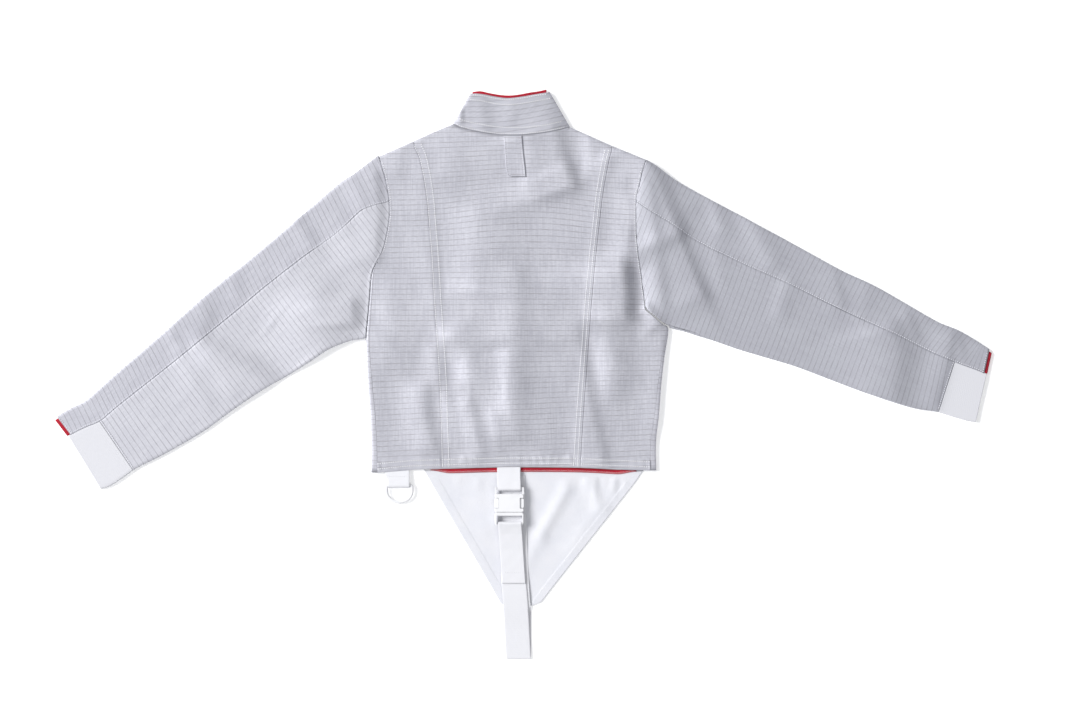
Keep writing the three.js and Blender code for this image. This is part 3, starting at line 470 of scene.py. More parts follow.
hem_y = curve(HEM, "x", "y")
seam_x = {side: curve(SEAMS, "y", side) for side in ("left", "right")}
side_x = {side: curve(BODY_ROWS, "share", side + "X") for side in ("left", "right")}
side_y = {side: curve(BODY_ROWS, "share", side + "Y") for side in ("left", "right")}
neck_curves = [curve(NECK, "share", name) for name in ("x", "y", "collarX", "collarY")]
NECK_FROM, NECK_TO = NECK[0]["share"], NECK[-1]["share"]


def side_line(side, share):
    """Side fold and armhole edge of the body, from hem to shoulder"""
    return np.stack([side_x[side](share), side_y[side](share)], -1)


def top_line(share):
    """Shoulder, neck and shoulder of the centre back"""
    points = []
    for s in np.atleast_1d(share):
        rows = LEFT_SHOULDER if s <= NECK_FROM else RIGHT_SHOULDER if s >= NECK_TO else None
        if rows is None:
            points.append([neck_curves[0](s), neck_curves[1](s)])
        else:
            places = [row["share"] for row in rows]
            points.append([np.interp(s, places, [row[name] for row in rows]) for name in ("x", "y")])
    return np.array(points, float)


def seam_line(side, share):
    """Princess seam from hem to shoulder"""
    top = top_line(0.0 if side == "left" else 1.0)[0]
    foot = hem_y(seam_x[side](-140))
    y = mix(foot, top[1], share)
    end = smooth((np.asarray(share) - BELOW_SHOULDER) / (1 - BELOW_SHOULDER))
    return np.stack([mix(seam_x[side](y), top[0], end), y], -1)


# %% [markdown]
# ## Folds
#
# Cloth that lies on a table keeps folds from wearing and packing. Each is a low ridge down a short
# line, or a trough where the rise is negative. Its two sides have their own widths: the light comes
# from the left, so a narrow left side is a bright streak and a narrow right side a dark one. They
# are placed one by one where the jacket has them, first on the body and the collar, and then on each
# sleeve. A path is in millimetres on the laid-out jacket, and so are all the other values.

# %% Folds
FOLDS = table(["path", "left", "right", "rise", "fade"], [
    # body and collar
    [[(-66, 236), (-62, 190), (-66, 140)], 36, 70, 4.6, 22],
    [[(-15, 122), (-16, 60)], 110, 84, 8.6, 18],
    [[(-14, 156), (-14, 100), (-17, -90)], 26, 18, 2.4, 10],
    [[(-17, 20), (-19, -80)], 80, 66, 7.0, 36],
    [[(-134, 92), (-110, 62)], 22, 50, 1.8, 26],
    [[(-106, 56), (-84, 28), (-80, -4)], 22, 40, 3.4, 22],
    [[(-84, 36), (-80, 0)], 17, 13, 1.0, 20],
    [[(-21, 24), (-20, -52)], 16, 30, 2.6, 20],
    [[(-152, -30), (-150, -66), (-140, -104)], 27, 12, 4.2, 20],
    [[(-134, 30), (-130, -4)], 17, 13, 2.6, 18],
    [[(-84, -46), (-68, -116)], 22, 12, 3.4, 16],
    [[(-116, -40), (-108, -96)], 14, 12, 1.4, 18],
    [[(-44, -66), (-40, -110)], 18, 10, 1.6, 16],
    [[(78, 56), (88, 0), (100, -66), (116, -128)], 46, 12, 4.4, 20],
    [[(125, 62), (131, 20), (133, -20)], 24, 24, 5.4, 28],
    [[(143, 154), (146, 124), (147, 90)], 92, 18, 11.0, 20],
    [[(154, 210), (153, 176), (150, 150)], 30, 9, 2.4, 16],
    [[(168, 154), (171, 124), (169, 98)], 13, 20, -3.6, 14],
    [[(152, 90), (154, 10)], 40, 26, 2.4, 24],
    [[(203, 64), (205, -66)], 26, 10, 3.0, 26],
    [[(186, 278), (195, 200), (204, 110)], 20, 12, 2.4, 20],
    [[(122, 330), (111, 273), (104, 206)], 34, 12, 1.6, 26],
    [[(148, 292), (156, 238), (162, 190)], 22, 9, 0.8, 16],
    [[(42, 362), (54, 318), (64, 284)], 90, 17, 6.6, 18],
    [[(104, 366), (101, 334), (96, 296)], 15, 45, 2.2, 14],
    [[(64, 308), (72, 286)], 60, 12, 3.4, 10],
    [[(-226, 296), (-221, 240), (-227, 178)], 36, 12, 3.4, 16],
    [[(-199, 126), (-194, 70), (-200, 24)], 26, 40, 2.8, 22],
    [[(-229, 60), (-226, 20)], 20, 30, 1.6, 20],
    [[(-155, 308), (-148, 202), (-157, 104)], 24, 20, 0.7, 24],
    [[(-140, 170), (-133, 112)], 16, 9, 1.2, 14],
    [[(9, 346), (8, 326), (5, 284)], 9, 18, 0.9, 12],
    [[(-94, 346), (-90, 308)], 70, 70, 3.0, 20],
    [[(31, -38), (35, -124)], 22, 18, 1.2, 14],
    [[(-229, -8), (-223, -120)], 10, 18, 1.2, 16],
    [[(-96, 397), (-94, 379)], 6, 2.4, 1.4, 4],
    [[(-67, 416), (-61, 368)], 18, 12, 1.3, 8],
    [[(-19, 416), (-22, 370)], 12, 10, 0.6, 8],
    [[(22, 416), (34, 374)], 80, 28, 3.0, 13],
    [[(53, 244), (62, 200)], 30, 30, 1.0, 20],
    [[(-184, 348), (-193, 308)], 20, 14, 1.3, 14],
    [[(-112, 334), (-109, 266)], 26, 20, 0.9, 20],
    # left sleeve
    [[(-316, 92), (-304, 60), (-290, 26)], 60, 40, 6.0, 40],
    [[(-462, 62), (-404, 46), (-356, 2)], 22, 44, -2.8, 20],
    [[(-462, 30), (-434, 12), (-398, -16)], 60, 24, 3.0, 36],
    [[(-486, 50), (-462, 20), (-440, -16)], 14, 22, 0.8, 16],
    [[(-514, 16), (-493, -14), (-474, -44)], 14, 10, 0.6, 12],
    [[(-292, 262), (-274, 220), (-259, 170)], 26, 18, 1.1, 20],
    [[(-262, 296), (-252, 276), (-246, 258)], 24, 11, 1.2, 14],
    [[(-343, 232), (-331, 212), (-322, 198)], 16, 12, 1.5, 14],
    [[(-398, 166), (-390, 150)], 16, 11, 0.4, 12],
    [[(-438, 140), (-430, 122)], 13, 10, 0.7, 10],
    [[(-484, 104), (-474, 86)], 13, 10, 0.7, 10],
    [[(-528, 58), (-516, 40)], 12, 9, 0.9, 10],
    [[(-350, 148), (-312, 141), (-252, 130)], 14, 34, 1.6, 34],
    [[(-262, 106), (-260, 80)], 44, 14, 5.0, 9],
    # right sleeve
    [[(167, 344), (194, 298), (209, 254), (226, 214)], 60, 18, 7.4, 14],
    [[(229, 202), (247, 158), (263, 122)], 60, 13, 5.0, 22],
    [[(262, 116), (280, 84)], 40, 12, 1.2, 22],
    [[(196, 322), (221, 284), (244, 256)], 40, 30, 2.6, 18],
    [[(281, 280), (290, 242), (296, 220)], 15, 16, 2.2, 14],
    [[(341, 238), (359, 196), (372, 170)], 20, 20, 2.8, 16],
    [[(395, 136), (383, 94)], 14, 16, 1.8, 14],
    [[(287, 194), (296, 142)], 12, 16, 0.9, 14],
    [[(464, 144), (473, 110)], 24, 9, 1.4, 14],
    [[(515, 130), (506, 88)], 16, 16, 0.9, 14],
    [[(545, 64), (554, 30), (546, -34)], 64, 30, 8.4, 18],
    [[(637, 56), (629, 10), (614, -40)], 26, 10, 3.4, 12],
    [[(571, 92), (584, 62)], 10, 9, 1.1, 8],
    [[(649, 62), (653, 34)], 12, 8, 1.2, 8],
    [[(184, 98), (198, 76)], 22, 9, 3.6, 8],
])


def ridge(points, fold):
    """How much one fold lifts each plan point; its path runs down, so the left side is the west one"""
    path = np.array(fold["path"], float)
    nearest = np.full(points.shape[:-1], np.inf)
    lift = np.zeros(points.shape[:-1])
    for start, end in zip(path[:-1], path[1:]):
        way = unit(end - start)
        offset = points - start
        along = offset @ way
        aside = offset[..., 1] * way[0] - offset[..., 0] * way[1]
        past = np.maximum(0, np.maximum(-along, along - np.linalg.norm(end - start)))
        width = np.where(aside < 0, fold["left"], fold["right"])
        height = np.exp(-((aside / width) ** 2) - (past / fold["fade"]) ** 2)
        distance = np.hypot(aside, past)
        lift = np.where(distance < nearest, height, lift)
        nearest = np.minimum(nearest, distance)
    return fold["rise"] * lift


def cloth_level(points):
    """Height of the upper layer's middle over plan points"""
    points = np.asarray(points, float)
    return BACK_LEVEL + sum(ridge(points, fold) for fold in FOLDS)


def lay(points, level):
    """Plan points at a height, as points in space"""
    points = np.asarray(points, float)
    return np.concatenate([points, np.broadcast_to(level, points.shape[:-1])[..., None]], -1)


def lifted(points):
    return lay(points, cloth_level(points))


# %% [markdown]
# ## Walls of cloth
#
# A piece is a grid of points in the middle of the cloth. The wall moves each point half a thickness
# out and in along the grid's own direction there and closes the rim, so every piece is a thin solid
# as real cloth is. The weave map keeps each point's place on the flat cut.

# %% Walls of cloth
pieces = {}


def grid_normals(grid, present):
    """Direction across the cloth at each grid point, from the cells round it"""
    cross = np.cross(grid[1:, 1:] - grid[:-1, :-1], grid[1:, :-1] - grid[:-1, 1:])
    cross = unit(cross) * present[..., None]
    total = np.zeros_like(grid)
    before, after = slice(0, -1), slice(1, None)
    for rows, columns in ((before, before), (before, after), (after, before), (after, after)):
        total[rows, columns] += cross
    return unit(total)


def cell_corners(grid):
    """The four corners of every cell of a grid, in order round the cell"""
    return grid[:-1, :-1], grid[:-1, 1:], grid[1:, 1:], grid[1:, :-1]


def cut_size(grid, present):
    """Width, length and area of the flat cut, in metres"""
    a, b, c, d = cell_corners(grid)
    area = (np.linalg.norm(np.cross(c - a, d - b), axis=-1) / 2 * present).sum()
    across = (np.linalg.norm(np.diff(grid, axis=1), axis=2)[:-1] * present).sum(1).max()
    along = (np.linalg.norm(np.diff(grid, axis=0), axis=2)[:, :-1] * present).sum(0).max()
    return across * MM, along * MM, area * MM * MM


def link(name, vertices, faces, finish):
    """A mesh object from points in millimetres on the laid-out jacket"""
    mesh = bpy.data.meshes.new(name)
    mesh.from_pydata(((vertices - MIDDLE) * MM).tolist(), [], faces)
    mesh.materials.append(finish.material)
    mesh.shade_smooth()
    made = bpy.data.objects.new(name, mesh)
    bpy.context.scene.collection.objects.link(made)
    return made


def set_weave(made, places):
    """Writes each vertex's place on the cut cloth into the weave map"""
    loops = np.zeros(len(made.data.loops), np.int32)
    made.data.loops.foreach_get("vertex_index", loops)
    layer = made.data.uv_layers.new(name="weave")
    layer.data.foreach_set("uv", (places[loops] * MM).ravel())


def wall(name, grid, finish, weave, thickness=WALL, present=None):
    """Closed wall of cloth on a grid of middle points, in millimetres"""
    rows, columns = grid.shape[:2]
    there = np.ones((rows - 1, columns - 1), bool) if present is None else present
    out = grid_normals(grid, there) * (np.broadcast_to(thickness, grid.shape[:2])[..., None] / 2)
    vertices = np.concatenate([(grid + out).reshape(-1, 3), (grid - out).reshape(-1, 3)])
    outer = np.arange(rows * columns).reshape(rows, columns)
    inner = outer + rows * columns
    p, q, r, s = cell_corners(outer)
    p_in, q_in, r_in, s_in = cell_corners(inner)
    padded = np.pad(there, 1)
    faces = [np.stack([p, q, r, s], -1)[there], np.stack([s_in, r_in, q_in, p_in], -1)[there]]
    rims = (
        (padded[:-2, 1:-1], (p_in, q_in, q, p)),
        (padded[2:, 1:-1], (s, r, r_in, s_in)),
        (padded[1:-1, :-2], (p, s, s_in, p_in)),
        (padded[1:-1, 2:], (q_in, r_in, r, q)),
    )
    for beyond, quad in rims:
        faces.append(np.stack(quad, -1)[there & ~beyond])
    faces = np.concatenate(faces)
    used, flat_faces = np.unique(faces, return_inverse=True)
    made = link("sewn_" + name, vertices[used], flat_faces.reshape(faces.shape).tolist(), finish)
    set_weave(made, np.concatenate([weave.reshape(-1, 2)] * 2)[used])
    pieces[name] = made
    made["cut"] = cut_size(grid, there)
    return made


def sew_on(name):
    """The piece rides with the garment and stands for its CAD solid, which is hidden"""
    made = pieces[name]
    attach(made, "garment")
    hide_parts(name)
    print(f"{name}: {len(made.data.polygons)} faces")


def inset(edge, inside, distance=SEAM_GAP / 2):
    """Moves an edge line inwards"""
    tangent = unit(np.gradient(edge, axis=0))
    inward = inside - edge
    inward = inward - tangent * (inward * tangent).sum(-1, keepdims=True)
    return edge + unit(inward) * distance


def inset_sides(grid):
    grid[:, 0] = inset(grid[:, 0], grid[:, 1])
    grid[:, -1] = inset(grid[:, -1], grid[:, -2])


# %% Rolled edges and patches
ROLL = np.radians(np.linspace(0, 180, 9))
EDGE_REACH = 1.3
EDGE_CLEAR = 4.8


def roll(edge, inside, strips=()):
    """Rounds a folded edge from the upper layer to the lower one, a row of points for each edge point"""
    edge, inside = np.asarray(edge, float), np.asarray(inside, float)
    way = unit(inside - edge)
    radius = (cloth_level(edge) - FLOOR_LEVEL) / 2
    aside = WALL / 2 + EDGE_REACH * (1 - np.sin(ROLL)) * np.ones((len(edge), 1))
    level = FLOOR_LEVEL + radius[:, None] * (1 + np.cos(ROLL))
    for distance in strips:
        aside = np.concatenate([aside, WALL / 2 + EDGE_REACH + np.full((len(edge), 1), distance)], 1)
        level = np.concatenate([level, np.full((len(edge), 1), FLOOR_LEVEL)], 1)
    return lay(edge[:, None] + way[:, None] * aside[..., None], level)


def patch(left, right, bottom, top, s, t):
    """Plan grid between four edges: rows run from bottom to top, columns from left to right"""
    s, t = s[None, :, None], t[:, None, None]
    sides = mix(left[:, None], right[:, None], s)
    ends = mix(bottom[None], top[None], t)
    corners = mix(mix(bottom[0], bottom[-1], s), mix(top[0], top[-1], s), t)
    return sides + ends - corners


def steps(length, pitch, start=(), end=()):
    """Shares down a length: close steps in millimetres at its ends, and even ones between"""
    start, end = np.array(start, float), length - np.array(end[::-1], float)
    low, high = (start[-1] if len(start) else 0.0), (end[0] if len(end) else length)
    count = max(2, round((high - low) / pitch))
    middle = np.linspace(low, high, count + 1)
    return np.unique(np.round(np.concatenate([start, middle, end]), 6)) / length


SEAM_STEPS = (0, 0.2, 0.8, 1.6, 2.8, 4.2, 6.0, 8.5, 11.0, 14.0, 17.0)
EDGE_STEPS = (0, 0.2, 0.8, 1.6, 2.8, 4.8, 7.0)
PANEL_PITCH = 3.2


def sink(distance, depth, width=1.1):
    """Cloth pulled down beside a seam"""
    return -depth * np.exp(-((distance / width) ** 2))


def welt(distance, near, far, rise):
    """Cloth raised by the doubled layer between two stitch rows"""
    return rise * smooth((distance - near + 1) / 2) * smooth((far + 1 - distance) / 2)


def along_rows(grid):
    """Distance of each grid point from the start of its row"""
    step = np.linalg.norm(np.diff(grid, axis=1), axis=2)
    return np.concatenate([np.zeros((len(grid), 1)), np.cumsum(step, axis=1)], 1)


def row_distance(grid, from_right=False):
    """Plan distance of each grid point from the left or the right edge, down its row"""
    at = along_rows(grid[..., :2])
    return at[:, -1:] - at if from_right else at


def column_distance(grid, from_top=False):
    """Plan distance of each grid point from the bottom or the top edge, up its column"""
    return row_distance(np.swapaxes(grid, 0, 1), from_top).T


# %% [markdown]
# ## The back
#
# Three panels make the back. Princess seams shape it, each felled towards the centre with two rows
# of stitches. The hem is turned up and stitched twice, and the thread puckers it. At the shoulders
# each panel rolls over the edge to a short strip underneath, where the fronts begin.

# %% Hem and shoulders
SEAM_SINK = 0.3
FELL_RISE, FELL_REACH = 0.35, 17
HEM_FOLD, HEM_RISE = 14.5, 0.45
SHOULDER_TURN = 8.0
PUCKER_PITCH, PUCKER_COUNT, PUCKER_WIDTH = 9.0, 51, 2.6
pucker_dice = np.random.default_rng(11)
pucker_x = -240 + PUCKER_PITCH * np.arange(PUCKER_COUNT) + pucker_dice.uniform(-3, 3, PUCKER_COUNT)
pucker_rise = pucker_dice.uniform(0.2, 0.85, PUCKER_COUNT)
pucker_lean = pucker_dice.uniform(-0.35, 0.35, PUCKER_COUNT)


def hem_relief(grid):
    """Turned hem with its puckers"""
    up = column_distance(grid)
    x = grid[..., 0]
    puckers = 0
    for at, rise, lean in zip(pucker_x, pucker_rise, pucker_lean):
        puckers = puckers + rise * np.exp(-(((x - at - lean * up) / PUCKER_WIDTH) ** 2))
    fade = smooth(up / 3) * smooth((24 - up) / 12)
    return welt(up, 0, HEM_FOLD, HEM_RISE) + puckers * fade


def over_shoulder(edge, before):
    """Rows that take a panel over the shoulder, from the upper layer to the strip beneath"""
    return np.swapaxes(roll(edge, before, [SHOULDER_TURN]), 0, 1)


def grain(points):
    """How far the cloth's lines bow upwards over the laid-out body"""
    x, y = points[..., 0], points[..., 1]
    yoke = 15 * np.exp(-(((x - 5) / 115) ** 2) - ((y - 258) / 80) ** 2)
    return yoke + 0.045 * x * smooth((60 - y) / 120)


def weave_of(grid, upper_rows):
    """Place on the flat cut: X, and Y that runs on over the shoulder"""
    weave = grid[..., :2].copy()
    weave[..., 1] -= grain(grid)
    for i in range(upper_rows, len(grid)):
        weave[i, :, 0] = weave[upper_rows - 1, :, 0]
        weave[i, :, 1] = weave[i - 1, :, 1] + np.linalg.norm(grid[i] - grid[i - 1], axis=1)
    return weave


panel_t = steps(480, PANEL_PITCH, EDGE_STEPS + (9, 11, 12.5, 14, 15.5, 17.5, 20), (0, EDGE_CLEAR, 7))
centre_s = steps(250, PANEL_PITCH, SEAM_STEPS, SEAM_STEPS)
centre_s = np.unique(np.concatenate([centre_s, [NECK_FROM, NECK_TO]]))
upper = {}


# %% Centre back
def back_centre():
    left, right = seam_line("left", panel_t), seam_line("right", panel_t)
    foot_x = mix(left[0, 0], right[0, 0], centre_s)
    bottom = np.stack([foot_x, hem_y(foot_x)], 1)
    top = top_line(centre_s)
    plan = patch(left, right, bottom, top, centre_s, panel_t)
    grid = lifted(plan)
    from_left, from_right = row_distance(grid), row_distance(grid, True)
    felled = smooth((FELL_REACH - from_left) / 9) + smooth((FELL_REACH - from_right) / 9)
    relief = hem_relief(grid) + FELL_RISE * felled
    neck = (centre_s >= NECK_FROM) & (centre_s <= NECK_TO)
    relief += sink(column_distance(grid, True), 0.3) * neck
    relief[-1] *= neck
    grid[..., 2] += relief
    over = over_shoulder(plan[-1], plan[-3])
    corner = np.isin(centre_s, (NECK_FROM, NECK_TO))
    grid[-1][~neck | corner] = over[0][~neck | corner]
    inner = neck & ~corner
    grid[-1][inner] = inset(grid[-1], grid[-2])[inner]
    whole = np.concatenate([grid, over[1:]])
    inset_sides(whole)
    present = np.ones((len(whole) - 1, len(centre_s) - 1), bool)
    present[len(grid) - 1:, (neck[:-1] & neck[1:])] = False
    upper["back_centre"] = grid
    wall("back_centre", whole, lame_cloth, weave_of(whole, len(grid)), present=present)


# %% Side backs
SIDE_BAND = {"hem": 9.5, "armhole": 3.4}


def band_width(side, share):
    """Width of the front's band that shows on the back, from the hem to the armhole"""
    width = mix(SIDE_BAND["hem"], SIDE_BAND["armhole"], np.clip(share / SIDE_TOP[side], 0, 1))
    return width * np.clip((SIDE_TOP_NEXT[side] - share) / (SIDE_TOP_NEXT[side] - SIDE_TOP[side]), 0, 1)


def back_side(side):
    s = steps(78, PANEL_PITCH, EDGE_STEPS, SEAM_STEPS[:6])
    edge, seam = side_line(side, panel_t), seam_line(side, panel_t)
    edge[:, 0] += INWARD[side] * band_width(side, panel_t)
    foot_x = mix(edge[0, 0], seam[0, 0], s)
    bottom = np.stack([foot_x, hem_y(foot_x)], 1)
    top = mix(edge[-1], seam[-1], s[:, None])
    plan = patch(edge, seam, bottom, top, s, panel_t)
    grid = lifted(plan)
    relief = sink(row_distance(grid, True), SEAM_SINK) + hem_relief(grid)
    relief[-1] = 0
    grid[..., 2] += relief
    over = over_shoulder(plan[-1], plan[-3])
    whole = np.concatenate([grid[:-1], over])
    inset_sides(whole)
    upper["back_side_" + side] = grid[:-1]
    wall("back_side_" + side, whole, lame_cloth, weave_of(whole, len(grid)))


back_centre()
for side in ("left", "right"):
    back_side(side)
sew_on("back_centre")
for side in ("left", "right"):
    sew_on("back_side_" + side)

# %% [markdown]
# ## The fronts
#
# The fronts lie face down under the back. Each wraps round the side fold, so a narrow band of it
# shows on the back. They lap at the centre, and hook and loop tapes hold the lap. They are finished
# plainly, since they lie on the table.

# %% Lines of the fronts
LAP_CENTRE, LAP_WIDTH = -20, 30
BAND_STEPS = (0, 0.04, 0.2, 0.6)
NECK_DROP = 14
FRONT_COLUMNS = {
    "left": {"neck": [0.19, 0.37, 0.553], "hem": [-170, -124, -85, -55, -22], "lap": 0.637},
    "right": {"neck": [0.85, 0.7, 0.645], "hem": [130, 83, 45, 9, -4], "lap": 0.46},
}
TAPE = {"thickness": 1.0, "width": LAP_WIDTH - 6, "from": -96, "to": 336, "pitch": 6.0}
LAP_RISE = {"from": -118, "over": 14, "level": 4.7}


def front_neck(share):
    """Front neckline, lower than the back one; share runs from the left neck corner to the right"""
    points = top_line(mix(NECK_FROM, NECK_TO, np.atleast_1d(share)))
    points[:, 1] -= NECK_DROP * np.sin(np.pi * np.clip(share, 0, 1)) ** 0.6
    return points


def subdivide(points, count):
    """Points at even steps between each pair of a list"""
    points = np.array(points)
    corners = np.arange(len(points))
    places = np.linspace(0, len(points) - 1, (len(points) - 1) * count + 1)
    return np.stack([np.interp(places, corners, points[:, k]) for k in range(2)], 1), places


def turned_under(point):
    """How much cloth the back takes over the shoulder, from its edge to the seam with the front"""
    return SHOULDER_TURN + (cloth_level(point) - FLOOR_LEVEL) / 2 + WALL / 2 + 2 * SEAM_GAP


def front_plan(side, rows):
    """Plan grid of a front beneath the back, and how many stretches of its top lie before each column"""
    lap_edge = LAP_CENTRE + INWARD[side] * LAP_WIDTH / 2
    corner, seam_end = side_line(side, SHOULDER), seam_line(side, SHOULDER)
    armhole_top = towards(corner, side_line(side, BELOW_SHOULDER), turned_under(corner))
    seam_top = towards(seam_end, seam_line(side, BELOW_SHOULDER), turned_under(seam_end) + 1)
    neck_corner = top_line(NECK_FROM if side == "left" else NECK_TO)[0]
    neck_foot = neck_corner + [INWARD[side] * 0.8, -turned_under(neck_corner) - 1]
    columns = FRONT_COLUMNS[side]
    neckline = [front_neck(share)[0] for share in columns["neck"]]
    lap_top = front_neck(columns["lap"])[0, 1] - 1
    top, places = subdivide([armhole_top, seam_top, neck_foot, *neckline, [lap_edge, lap_top]], 4)
    outer = side_line(side, rows)
    outer[-1] = armhole_top
    bottom, _ = subdivide([[x, hem_y(x)] for x in (outer[0, 0], *columns["hem"], lap_edge)], 4)
    inner = np.stack([np.full(len(rows), lap_edge), mix(hem_y(lap_edge), lap_top, rows)], 1)
    return patch(outer, inner, bottom, top, places / places[-1], rows), places


# %% The fronts
def front(side):
    """A front: its band on the back, its side fold and its panel beneath"""
    sign = INWARD[side]
    rows = np.unique(np.concatenate([np.linspace(0, 1, 61), [SIDE_TOP[side], SIDE_TOP_NEXT[side]]]))
    plan, places = front_plan(side, rows)
    level = np.full(plan.shape[:2], FLOOR_LEVEL)
    if side == "right":
        low = FLOOR_LEVEL + WALL + SEAM_GAP
        lapped = mix(low, LAP_RISE["level"], smooth((plan[..., 1] - LAP_RISE["from"]) / LAP_RISE["over"]))
        level = mix(level, lapped, np.clip(places - 4, 0, 1)[None])
    body = lay(plan, level)
    edge = plan[:, 0] + [sign * SEAM_GAP / 2, 0]
    rolled = roll(edge, edge + [sign, 0])
    band_reach = np.maximum(band_width(side, rows) - SEAM_GAP, 0.05)
    band = lifted(edge + np.stack([sign * band_reach, 0 * rows], 1))
    turned = (rows <= SIDE_TOP_NEXT[side]).astype(float)
    body[:, 0] = mix(body[:, 0], rolled[:, -1], turned[:, None])
    strips = [lifted(mix(band, rolled[:, 0], share)[:, :2]) for share in BAND_STEPS]
    whole = np.concatenate([np.stack(strips, 1), rolled[:, :-1], body], 1)
    count = len(strips) + rolled.shape[1] - 1
    open_rows = rows > SIDE_TOP_NEXT[side]
    whole[open_rows, count] = inset(whole[:, count], whole[:, count + 1], SEAM_GAP)[open_rows]
    whole[-1, count + 2:] = inset(whole[-1, count + 2:], whole[-2, count + 2:])
    present = np.ones((len(rows) - 1, whole.shape[1] - 1), bool)
    present[rows[:-1] >= SIDE_TOP_NEXT[side], :count] = False
    weave = whole[..., :2].copy()
    weave[..., 0] = along_rows(whole)
    weave[..., 1] = plan[:, :1, 1]
    wall("front_" + side, whole, lame_cloth, weave, present=present)
    sew_on("front_" + side)


def front_tape(name, layer):
    """One of the tapes of the lap, a flat strip that is first or second above the left front"""
    level = WALL + SEAM_GAP * layer + TAPE["thickness"] * (layer - 0.5)
    width, height, pitch = TAPE["width"], TAPE["to"] - TAPE["from"], TAPE["pitch"]
    x = np.linspace(LAP_CENTRE - width / 2, LAP_CENTRE + width / 2, round(width / pitch) + 1)
    y = np.linspace(TAPE["from"], TAPE["to"], round(height / pitch) + 1)
    plan = np.stack(np.meshgrid(x, y), -1)
    wall(name, lay(plan, level), tape, plan, TAPE["thickness"])
    sew_on(name)


for side in ("left", "right"):
    front(side)
front_tape("front_tape_loop", 1)
front_tape("front_tape_hook", 2)

# %% [markdown]
# ## The sleeves
#
# Each sleeve has two pieces, a narrow one on top and a wide one beneath, which meet in the elbow seam
# that runs down its length. Both wrap round the folded edges to the underside. The wide piece ends
# in an elastic cuff, and the narrow one runs on to the wrist, where its end has a red edge.

# %% Pattern of the sleeves
SECTION = ["u", "seam", "upper", "lower"]
LEFT_SECTIONS = table(SECTION, [
    [-40, 0.0, 64.5, -152.0],
    [0, 0.0, 64.5, -151.0],
    [20, 7.8, 64.6, -150.0],
    [40, 13.6, 66.3, -149.0],
    [65, 11.6, 65.4, -148.0],
    [94, 9.7, 63.4, -146.0],
    [122, 10.2, 62.3, -144.5],
    [152, 10.9, 60.1, -142.6],
    [172, 10.8, 58.9, -132.5],
    [190, 10.7, 57.9, -126.6],
    [210, 10.3, 57.1, -122.1],
    [235, 9.8, 56.1, -120.7],
    [275, 7.7, 55.7, -117.0],
    [322, 6.3, 53.3, -111.1],
    [376, 4.1, 49.0, -107.7],
    [428, 2.8, 45.2, -106.7],
    [485, 2.0, 42.0, -100.0],
    [517, 1.2, 39.2, -94.7],
    [545, 0.0, 37.5, -89.5],
    [570, 6.2, 42.2, -88.6],
    [592, 10.2, 44.9, -87.0],
    [606, 11.0, 45.0, -82.0],
])
RIGHT_SECTIONS = table(SECTION, [
    [-40, 0.0, 64.0, -152.0],
    [0, 0.0, 62.8, -151.0],
    [20, -2.8, 59.2, -150.0],
    [40, -4.4, 56.1, -149.0],
    [65, -6.5, 54.6, -148.0],
    [94, -10.4, 53.5, -147.0],
    [130, -12.4, 52.8, -145.7],
    [152, -11.8, 52.4, -141.0],
    [172, -11.4, 51.6, -138.0],
    [190, -10.9, 51.1, -135.0],
    [210, -9.9, 50.7, -132.2],
    [235, -8.4, 49.8, -129.0],
    [275, -7.1, 48.3, -122.0],
    [322, -7.0, 46.7, -113.7],
    [376, -5.7, 48.3, -108.0],
    [428, -3.9, 45.6, -102.7],
    [485, -3.3, 42.5, -94.8],
    [517, -1.7, 45.0, -88.3],
    [545, 0.8, 43.8, -79.0],
    [570, 3.8, 41.0, -75.0],
    [592, 5.0, 39.0, -70.5],
    [606, 5.0, 38.0, -66.0],
])
SLEEVES = {
    "left": {
        "sections": LEFT_SECTIONS,
        "origin": [-203.2, 261.0],
        "along": [-0.7957, -0.6057],
        "across": [-0.6057, 0.7957],
        "seam_skew": 0.5,
        "cuff_skew": 5,
        "wrist_skew": (0.7, 10),
        "edging": 5.2,
        "tilt": (0.19, 0.0),
    },
    "right": {
        "sections": RIGHT_SECTIONS,
        "origin": [167.2, 259.5],
        "along": [0.8938, -0.4484],
        "across": [0.4484, 0.8938],
        "seam_skew": -10,
        "cuff_skew": 2,
        "wrist_skew": (-19, 8),
        "edging": 5.0,
        "tilt": (0.0, 0.10),
    },
}
HEAD_REACH, CUFF_AT, WRIST_AT, CUFF_END = 230, 545, 592, 596


